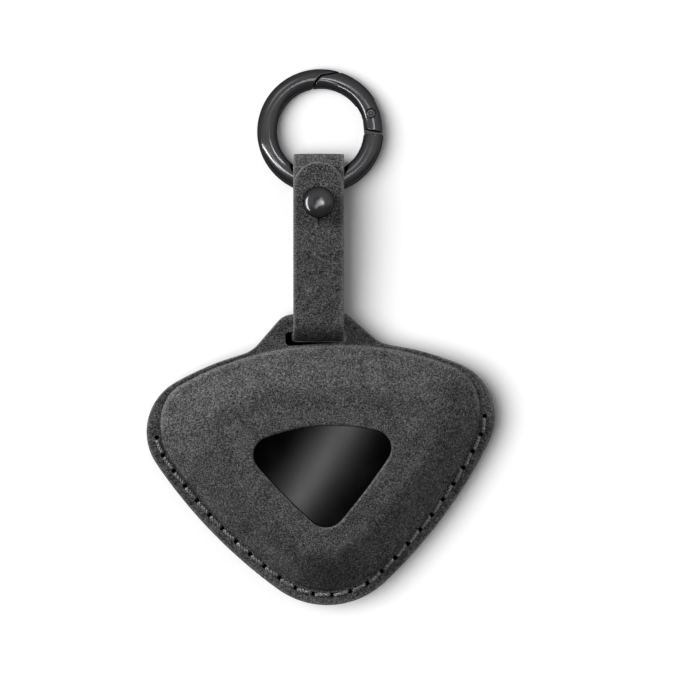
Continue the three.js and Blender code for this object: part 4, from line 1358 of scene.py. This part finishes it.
def screw_mesh(stud, foot):
    """Screw with a rounded, slotted head, from inside the loop"""
    low = foot - stud.screw_head_height
    profile = [
        (0, low),
        (stud.screw_head - SCREW_ROUND, low),
        (stud.screw_head, low + SCREW_ROUND),
        (stud.screw_head, foot),
        (stud.screw_shank, foot),
        (stud.screw_shank, foot + stud.screw_length),
        (0, foot + stud.screw_length),
    ]
    half = stud.screw_slot / 2
    wide = 2 * stud.screw_head
    corners = [(-wide, -half), (wide, -half), (wide, half), (-wide, half)]
    slot = prism("slot", corners, low - stud.screw_head_height, low + stud.screw_head_height / 2)
    return carve(turned("stud_screw", profile), slot)


def band_middle(ring):
    """Radius of the middle of the band"""
    return ring.outer - ring.band / 2


def pin_place(ring):
    """Where the pin stands"""
    return polar(band_middle(ring), ring.pin_turn)


def ring_section(ring, inset):
    """Radius and height round the band's swelled section, moved in by an inset"""
    round_section = polar(1, full_turn(RING_SECTION_STEPS))
    swelled = np.sign(round_section) * np.abs(round_section) ** (2 / ring.squareness)
    across, height = swelled.T * [[ring.band / 2 - inset], [ring.thickness / 2 - inset]]
    return band_middle(ring) + across, height


def lap_angle(ring, radius, shift):
    """Angle of the step lap at each radius, moved by a shift towards the gate"""
    nose = polar(ring.outer, ring.lap_nose)
    step = polar(ring.outer - ring.lap_depth, ring.lap_step)
    tip = polar(ring.outer - ring.band, ring.lap_tip)
    ends = [(*beyond(step, end), 0) for end in (nose, tip)]
    path = round_corners([ends[0], (*step, ring.lap_round), ends[1]])
    path = along_path(path, np.linspace(0, run_length(path)[-1], LAP_STEPS))
    path = path + left_normals(path) * shift
    falling = np.flatnonzero(np.diff(np.hypot(*path.T)) < 0)
    kept = path[falling][::-1]
    return np.interp(radius, np.hypot(*kept.T), np.arctan2(kept[:, 1], kept[:, 0]))


def band_sector(name, ring, start, end, steps):
    """A stretch of the band between two ends, which give their angle at each radius and shift"""
    middle = band_middle(ring)

    def end_rings(edge):
        found = []
        for share in BAND_END_SHARES:
            radius, height = ring_section(ring, ring.cut_round)
            radius = middle + (radius - middle) * share
            found.append((radius, height * share, edge(radius, 0)))
        for bend in np.linspace(0, math.pi / 2, EDGE_STEPS + 1):
            radius, height = ring_section(ring, ring.cut_round * (1 - math.sin(bend)))
            found.append((radius, height, edge(radius, ring.cut_round * (1 - math.cos(bend)))))
        return found

    first = end_rings(start)
    last = end_rings(end)
    radius, height = ring_section(ring, 0)
    sweep = last[-1][2] - first[-1][2]
    core = [(radius, height, first[-1][2] + sweep * k / steps) for k in range(1, steps)]
    rings = [*first, *core, *reversed(last)]
    return skin(name, [lay(polar(radius, angle), height) for radius, height, angle in rings])


def ring_body(ring):
    """The fixed part of the ring, with its tongue and knuckle"""
    def lap_end(radius, shift):
        return lap_angle(ring, radius, -ring.lap_gap - shift)

    def heel_end(radius, shift):
        return 2 * math.pi + ring.heel - np.arcsin((ring.heel_gap + shift) / radius)

    body = band_sector("ring_body", ring, lap_end, heel_end, BODY_STEPS)
    pin = pin_place(ring)
    heel = polar(band_middle(ring), ring.heel)
    root = heel + polar(ring.tongue_root, ring.heel - math.pi / 2)
    inward = left_of(unit(pin - root))
    inner = inward * ring.tongue_inner
    outer = -inward * ring.tongue_outer
    half = ring.tongue / 2
    arm = prism("arm", [root + outer, pin + outer, pin + inner, root + inner], -half, half)
    knuckle = prism("knuckle", circle(ring.knuckle, pin), -half, half)
    tongue = carve(arm, knuckle, "UNION")
    return carve(carve(body, tongue, "UNION"), pin_tool(ring))


def pin_tool(ring):
    """Cutter for the pin's hole"""
    hole = circle(ring.pin + ring.pin_fit, pin_place(ring))
    return prism("pin_hole", hole, -ring.thickness, ring.thickness)


def spring_axis(ring):
    """Start of the gate spring and the directions along it and towards the ring's centre"""
    along = polar(1, ring.pin_turn + math.pi / 2)
    inward = -polar(1, ring.pin_turn)
    start = pin_place(ring) + along * (ring.knuckle + ring.spring_wire)
    return start + inward * ring.spring_offset, along, inward


def ring_gate(ring):
    """The gate, forked over the tongue and bored for its spring"""
    def heel_end(radius, shift):
        relief = ring.heel_relief * (ring.outer - radius) / ring.band
        return ring.heel + np.arcsin((relief + shift) / radius)

    def lap_end(radius, shift):
        return lap_angle(ring, radius, shift)

    gate = band_sector("ring_gate", ring, heel_end, lap_end, GATE_STEPS)
    pin = pin_place(ring)
    start, along, inward = spring_axis(ring)
    far = pin + along * (ring.knuckle + ring.fork_play)
    near = pin - along * ring.outer
    half = ring.tongue / 2 + ring.tongue_play
    wide = inward * ring.band
    fork = prism("fork", [near - wide, near + wide, far + wide, far - wide], -half, half)
    bore = ring.spring + ring.spring_wire / 2 + ring.spring_fit
    deep = ring.spring_length + bore
    drill = turned("bore", [(0, 0), (bore, 0), (bore, deep), (0, deep)], DRILL_STEPS)
    drill.transform(axes(Vector((*start, 0)), Vector((0, 0, 1)), Vector((*along, 0))))
    return carve(carve(carve(gate, fork), drill), pin_tool(ring))


def pin_mesh(ring):
    """Riveted pin with a shallow dished head on each face"""
    half = ring.thickness / 2 + ring.pin_proud
    top = [(share * ring.pin, half - depth) for share, depth in PIN_DISH]
    mesh = turned("gate_pin", [*top, *[(radius, -height) for radius, height in reversed(top)]])
    mesh.transform(Matrix.Translation((*pin_place(ring), 0)))
    return mesh


def spring_mesh(ring):
    """Coil spring that shuts the gate"""
    start, along, inward = spring_axis(ring)
    share = np.linspace(0, 1, SPRING_TURNS * SPRING_STEPS + 1)
    spin = 2 * math.pi * SPRING_TURNS * share
    centre = start + np.outer(ring.spring_length * share, along)
    coil = centre + np.outer(ring.spring * np.cos(spin), inward)
    return strands("gate_spring", [lay(coil, ring.spring * np.sin(spin))], ring.spring_wire / 2)


# Operators

class KEYCOVER_OT_panels(bpy.types.Operator):
    """Make the two moulded suede panels"""

    bl_idname = "keycover.panels"
    bl_label = "Suede panels"

    def execute(self, context):
        cover = context.scene.key_cover
        plan = Plan(cover.pouch, cover.lug)
        # The second material paints the holes and the slot near-black as shade
        materials = [suede("pouch_suede", cover.finish), awl_hole(cover.finish)]
        for node, side in (("front_panel", 1), ("back_panel", -1)):
            mesh = panel(plan, cover.seam, side, materials)
            piece(mesh, materials, "pouch", node, sharp=60)
        return {"FINISHED"}


class KEYCOVER_OT_linings(bpy.types.Operator):
    """Make the cloth linings of the two panels"""

    bl_idname = "keycover.linings"
    bl_label = "Linings"

    def execute(self, context):
        cover = context.scene.key_cover
        plan = Plan(cover.pouch, cover.lug)
        cloth = knitted_lining(cover.finish)
        pouch = cover.pouch
        linings = (
            ("front", pouch.front_rise, 1, FRONT_LINING_CUT),
            ("back", pouch.back_rise, -1, BACK_LINING_CUT),
        )
        for name, rise, side, (flat, area) in linings:
            shell = lining_shell(plan, rise, side)
            lining = piece(shell, [cloth], "pouch", f"{name}_lining", sharp=50)
        return {"FINISHED"}


class KEYCOVER_OT_seam(bpy.types.Operator):
    """Make the stitches on both faces of the seam"""

    bl_idname = "keycover.seam"
    bl_label = "Seam thread"

    def execute(self, context):
        cover = context.scene.key_cover
        plan = Plan(cover.pouch, cover.lug)
        thread = sewing_thread(cover.finish)
        for node, side in (("front_seam_thread", 1), ("back_seam_thread", -1)):
            piece(stitched_thread(plan, cover.seam, side), [thread], "pouch", node)
        return {"FINISHED"}


class KEYCOVER_OT_fob(bpy.types.Operator):
    """Finish the fob's shells and make its gloss face"""

    bl_idname = "keycover.fob"
    bl_label = "Fob"

    def execute(self, context):
        cover = context.scene.key_cover
        plan = Plan(cover.pouch, cover.lug)
        shell = satin_plastic(cover.finish)
        for node in ("fob_rear_shell", "fob_front_shell"):
            mesh = frame["nodes"][node].data
            mesh.materials.clear()
            mesh.materials.append(shell)
        gloss = gloss_plastic(cover.finish)
        plate = face_plate(plan, cover.face)
        piece(plate, [gloss], "pouch", "fob_face_plate", sharp=40)
        return {"FINISHED"}


class KEYCOVER_OT_strap(bpy.types.Operator):
    """Make the folded strap"""

    bl_idname = "keycover.strap"
    bl_label = "Strap"

    def execute(self, context):
        cover = context.scene.key_cover
        pivot = (strap_frame().inverted() @ joint_place("ring_swing")[0]).y
        strip = strap_strip(cover.strap, pivot)
        source = strip.copy()
        for tool in keyhole_tool(cover.strap, cover.stud):
            strip = carve(strip, tool)
        keep_rub_and_highlight(strip, source)
        material = suede("strap_suede", cover.finish)
        piece(strip, [material], "strap_loop", "strap", strap_frame(), sharp=60)
        return {"FINISHED"}


class KEYCOVER_OT_stud(bpy.types.Operator):
    """Make the button stud and its screw"""

    bl_idname = "keycover.stud"
    bl_label = "Button stud"

    def execute(self, context):
        cover = context.scene.key_cover
        metal = plated_metal("stud_gunmetal", cover.finish.gunmetal, 0.14, 0.2)
        place = strap_frame() @ Matrix.Translation((0, cover.stud.from_bar, 0))
        foot, profile = stud_profile(cover.strap, cover.stud)
        head = turned("stud_head", profile)
        piece(head, [metal], "strap_loop", "stud_head", place, sharp=50)
        screw = screw_mesh(cover.stud, foot)
        piece(screw, [metal], "strap_loop", "stud_screw", place, sharp=30)
        return {"FINISHED"}


class KEYCOVER_OT_ring(bpy.types.Operator):
    """Make the ring, its gate, its pin and its spring"""

    bl_idname = "keycover.ring"
    bl_label = "Spring-gate ring"

    def execute(self, context):
        cover = context.scene.key_cover
        ring = cover.ring
        place = ring_frame(ring)
        metal = plated_metal("ring_gunmetal", cover.finish.gunmetal, 0.11, 0.16)
        steel = plated_metal("spring_steel", cover.finish.spring_steel, 0.3, 0.4)
        piece(ring_body(ring), [metal], "ring", "ring_body", place, sharp=35)
        piece(ring_gate(ring), [metal], "gate", "ring_gate", place, sharp=35)
        piece(pin_mesh(ring), [metal], "ring", "gate_pin", place, sharp=50)
        piece(spring_mesh(ring), [steel], "gate", "gate_spring", place)
        return {"FINISHED"}


class KEYCOVER_OT_stage(bpy.types.Operator):
    """Make the camera, the lights and the white table"""

    bl_idname = "keycover.stage"
    bl_label = "Stage"

    def execute(self, context):
        scene = context.scene
        cover = scene.key_cover
        scene.view_settings.view_transform = "Standard"
        target = Vector((cover.stage.picture_x, cover.stage.picture_y, 0))
        upright = Matrix.Rotation(-cover.stage.roll, 4, "Z")
        self.camera(scene, cover.stage, target, upright)
        table = self.table(scene, cover.finish)
        self.lights(scene, cover.stage, target, upright, table)
        self.surroundings(scene, cover.stage, upright)
        return {"FINISHED"}

    @staticmethod
    def camera(scene, stage, target, upright):
        """Looks straight down, with the picture's upright turned from +Y"""
        data = bpy.data.cameras.new("picture")
        data.lens = stage.lens
        distance = stage.picture_width * stage.lens / data.sensor_width
        camera = bpy.data.objects.new("picture", data)
        camera.matrix_world = Matrix.Translation(target + Vector((0, 0, distance))) @ upright
        scene.collection.objects.link(camera)
        scene.camera = camera

    def lights(self, scene, stage, target, upright, table):
        """Key and fill for the cover, one light for the table, and tubes for lines on the metal"""
        for setting, name, state in SUNS:
            data = bpy.data.lights.new(name, "SUN")
            data.energy = getattr(stage, f"{setting}_strength")
            data.angle = getattr(stage, f"{setting}_spread")
            heading = getattr(stage, f"{setting}_heading")
            away = upright @ from_table(heading, getattr(stage, f"{setting}_height"))
            aimed = away.to_track_quat("Z", "Y").to_matrix().to_4x4()
            lamp = self.lamp(scene, data, aimed, [table], state)
            lamp.visible_glossy = False
        over = Matrix.Translation(target) @ upright
        for name, place, size, spin, power, pieces in CEILING_TUBES:
            data = bpy.data.lights.new(name, "AREA")
            data.shape = "RECTANGLE"
            data.size, data.size_y = size
            data.energy = power
            spun = Matrix.Rotation(math.radians(spin), 4, "Z")
            lit = [bpy.data.objects[shown] for shown in pieces]
            hung = over @ Matrix.Translation((*place, CEILING)) @ spun
            lamp = self.lamp(scene, data, hung, lit, "INCLUDE")
            lamp.visible_camera = False

    @staticmethod
    def lamp(scene, data, place, things, state):
        """A lamp that falls on these things alone, or on all but these"""
        lamp = bpy.data.objects.new(data.name, data)
        lamp.matrix_world = place
        group = bpy.data.collections.new(f"under_{data.name}")
        for thing in things:
            group.objects.link(thing)
        for member in group.collection_objects:
            member.light_linking.link_state = state
        lamp.light_linking.receiver_collection = group
        scene.collection.objects.link(lamp)
        return lamp

    @staticmethod
    def table(scene, finish):
        """White table top that keeps the shadow and stays white into the distance"""
        mesh = bpy.data.meshes.new("table")
        corners = ((-1, -1), (1, -1), (1, 1), (-1, 1))
        points = [(x * TABLE_HALF, y * TABLE_HALF, 0) for x, y in corners]
        mesh.from_pydata(points, [], [range(4)])
        table = bpy.data.objects.new("table", mesh)
        table.location.z = -TABLE_DROP
        scene.collection.objects.link(table)
        material, tree, shader, coordinates = blank_material("table_white")
        seen = add_node(tree, "ShaderNodeLightPath").outputs["Is Camera Ray"]
        colour = blend_colour(tree, seen, opaque(finish.floor_bounce), opaque(finish.floor))
        set_inputs(tree, shader, Base_Color=colour, Roughness=0.9, Specular_IOR_Level=0.1)
        distance = add_node(tree, "ShaderNodeVectorMath", {0: coordinates}, operation="LENGTH")
        far = times(tree, seen, remap(tree, distance.outputs["Value"], *TABLE_FADE, 0, 1))
        glow = add_node(tree, "ShaderNodeEmission", {"Color": (1, 1, 1, 1), "Strength": 1.0})
        sockets = {0: far, 1: shader.outputs[0], 2: glow.outputs[0]}
        mixed = add_node(tree, "ShaderNodeMixShader", sockets)
        tree.links.new(mixed.outputs[0], tree.nodes["Material Output"].inputs["Surface"])
        mesh.materials.append(material)
        return table

    @staticmethod
    def surroundings(scene, stage, upright):
        """A grey room, darker at the horizon, straight overhead and low in the picture, with a strip"""
        world = bpy.data.worlds.new("studio")
        world.use_nodes = True
        scene.world = world
        tree = world.node_tree
        direction = add_node(tree, "ShaderNodeTexCoord").outputs["Generated"]
        lean = stage.ceiling_lean
        across = upright @ Vector((math.cos(lean), -math.sin(lean), 0))
        along = upright @ Vector((math.sin(lean), math.cos(lean), 0))
        down = upright @ Vector((0, -1, 0))

        def facing(axis):
            sockets = {0: direction, 1: axis}
            node = add_node(tree, "ShaderNodeVectorMath", sockets, operation="DOT_PRODUCT")
            return node.outputs["Value"]

        def within(axis, centre, reach, power):
            gap = maths(tree, "ABSOLUTE", maths(tree, "SUBTRACT", facing(axis), centre), 0.0)
            return maths(tree, "POWER", remap(tree, gap, 0.0, reach, 1.0, 0.0), power)

        core, glow = [
            times(tree, within(across, 0.0, reach, power), share)
            for reach, power, share in (STRIP_CORE, STRIP_GLOW)
        ]
        strip = maths(tree, "ADD", core, glow)
        strip = times(tree, strip, within(along, STRIP_MIDDLE, *STRIP_LENGTH))
        up = add_node(tree, "ShaderNodeSeparateXYZ", {0: direction}).outputs["Z"]
        strip = times(tree, strip, maths(tree, "GREATER_THAN", up, 0.0))
        room = remap(tree, up, 0.1, 0.9, stage.sky_low, stage.sky_high)
        room = times(tree, room, remap(tree, up, 0.97, 0.99, 1, 0.02))
        room = times(tree, room, remap(tree, facing(down), 0.05, 0.3, 1, 0.4))
        background = tree.nodes["Background"]
        strength = maths(tree, "ADD", room, times(tree, strip, stage.ceiling))
        set_inputs(tree, background, Color=(1, 1, 1, 1), Strength=strength)


class KEYCOVER_PT_sidebar(bpy.types.Panel):
    """Lists the pieces of the cover"""

    bl_idname = "KEYCOVER_PT_sidebar"
    bl_label = "Key cover"
    bl_space_type = "VIEW_3D"
    bl_region_type = "UI"
    bl_category = "Key cover"

    def draw(self, context):
        for operator in OPERATORS:
            self.layout.operator(operator.bl_idname)
        cover = context.scene.key_cover
        for group in cover.bl_rna.properties:
            if group.type != "POINTER" or group.identifier == "rna_type":
                continue
            box = self.layout.box()
            box.label(text=group.name)
            sizes = getattr(cover, group.identifier)
            for size in sizes.bl_rna.properties:
                if size.identifier not in ("rna_type", "name"):
                    box.prop(sizes, size.identifier)


GROUPS = (
    PouchSizes,
    LugSizes,
    SeamSizes,
    FaceSizes,
    StrapSizes,
    StudSizes,
    RingSizes,
    FinishColours,
    StageSettings,
    KeyCover,
)
OPERATORS = (
    KEYCOVER_OT_stage,
    KEYCOVER_OT_panels,
    KEYCOVER_OT_linings,
    KEYCOVER_OT_seam,
    KEYCOVER_OT_fob,
    KEYCOVER_OT_strap,
    KEYCOVER_OT_stud,
    KEYCOVER_OT_ring,
)
CLASSES = (*GROUPS, *OPERATORS, KEYCOVER_PT_sidebar)


def register():
    """Registers the classes and hangs the settings on the scene"""
    for entry in CLASSES:
        bpy.utils.register_class(entry)
    bpy.types.Scene.key_cover = PointerProperty(type=KeyCover)


def unregister():
    """Takes the settings and the classes away again"""
    del bpy.types.Scene.key_cover
    for entry in reversed(CLASSES):
        bpy.utils.unregister_class(entry)


def main():
    """Dresses the part"""
    register()
    bpy.ops.keycover.panels()
    bpy.ops.keycover.linings()
    bpy.ops.keycover.seam()
    bpy.ops.keycover.fob()
    bpy.ops.keycover.strap()
    bpy.ops.keycover.stud()
    bpy.ops.keycover.ring()
    bpy.ops.keycover.stage()


if __name__ == "__main__":
    main()
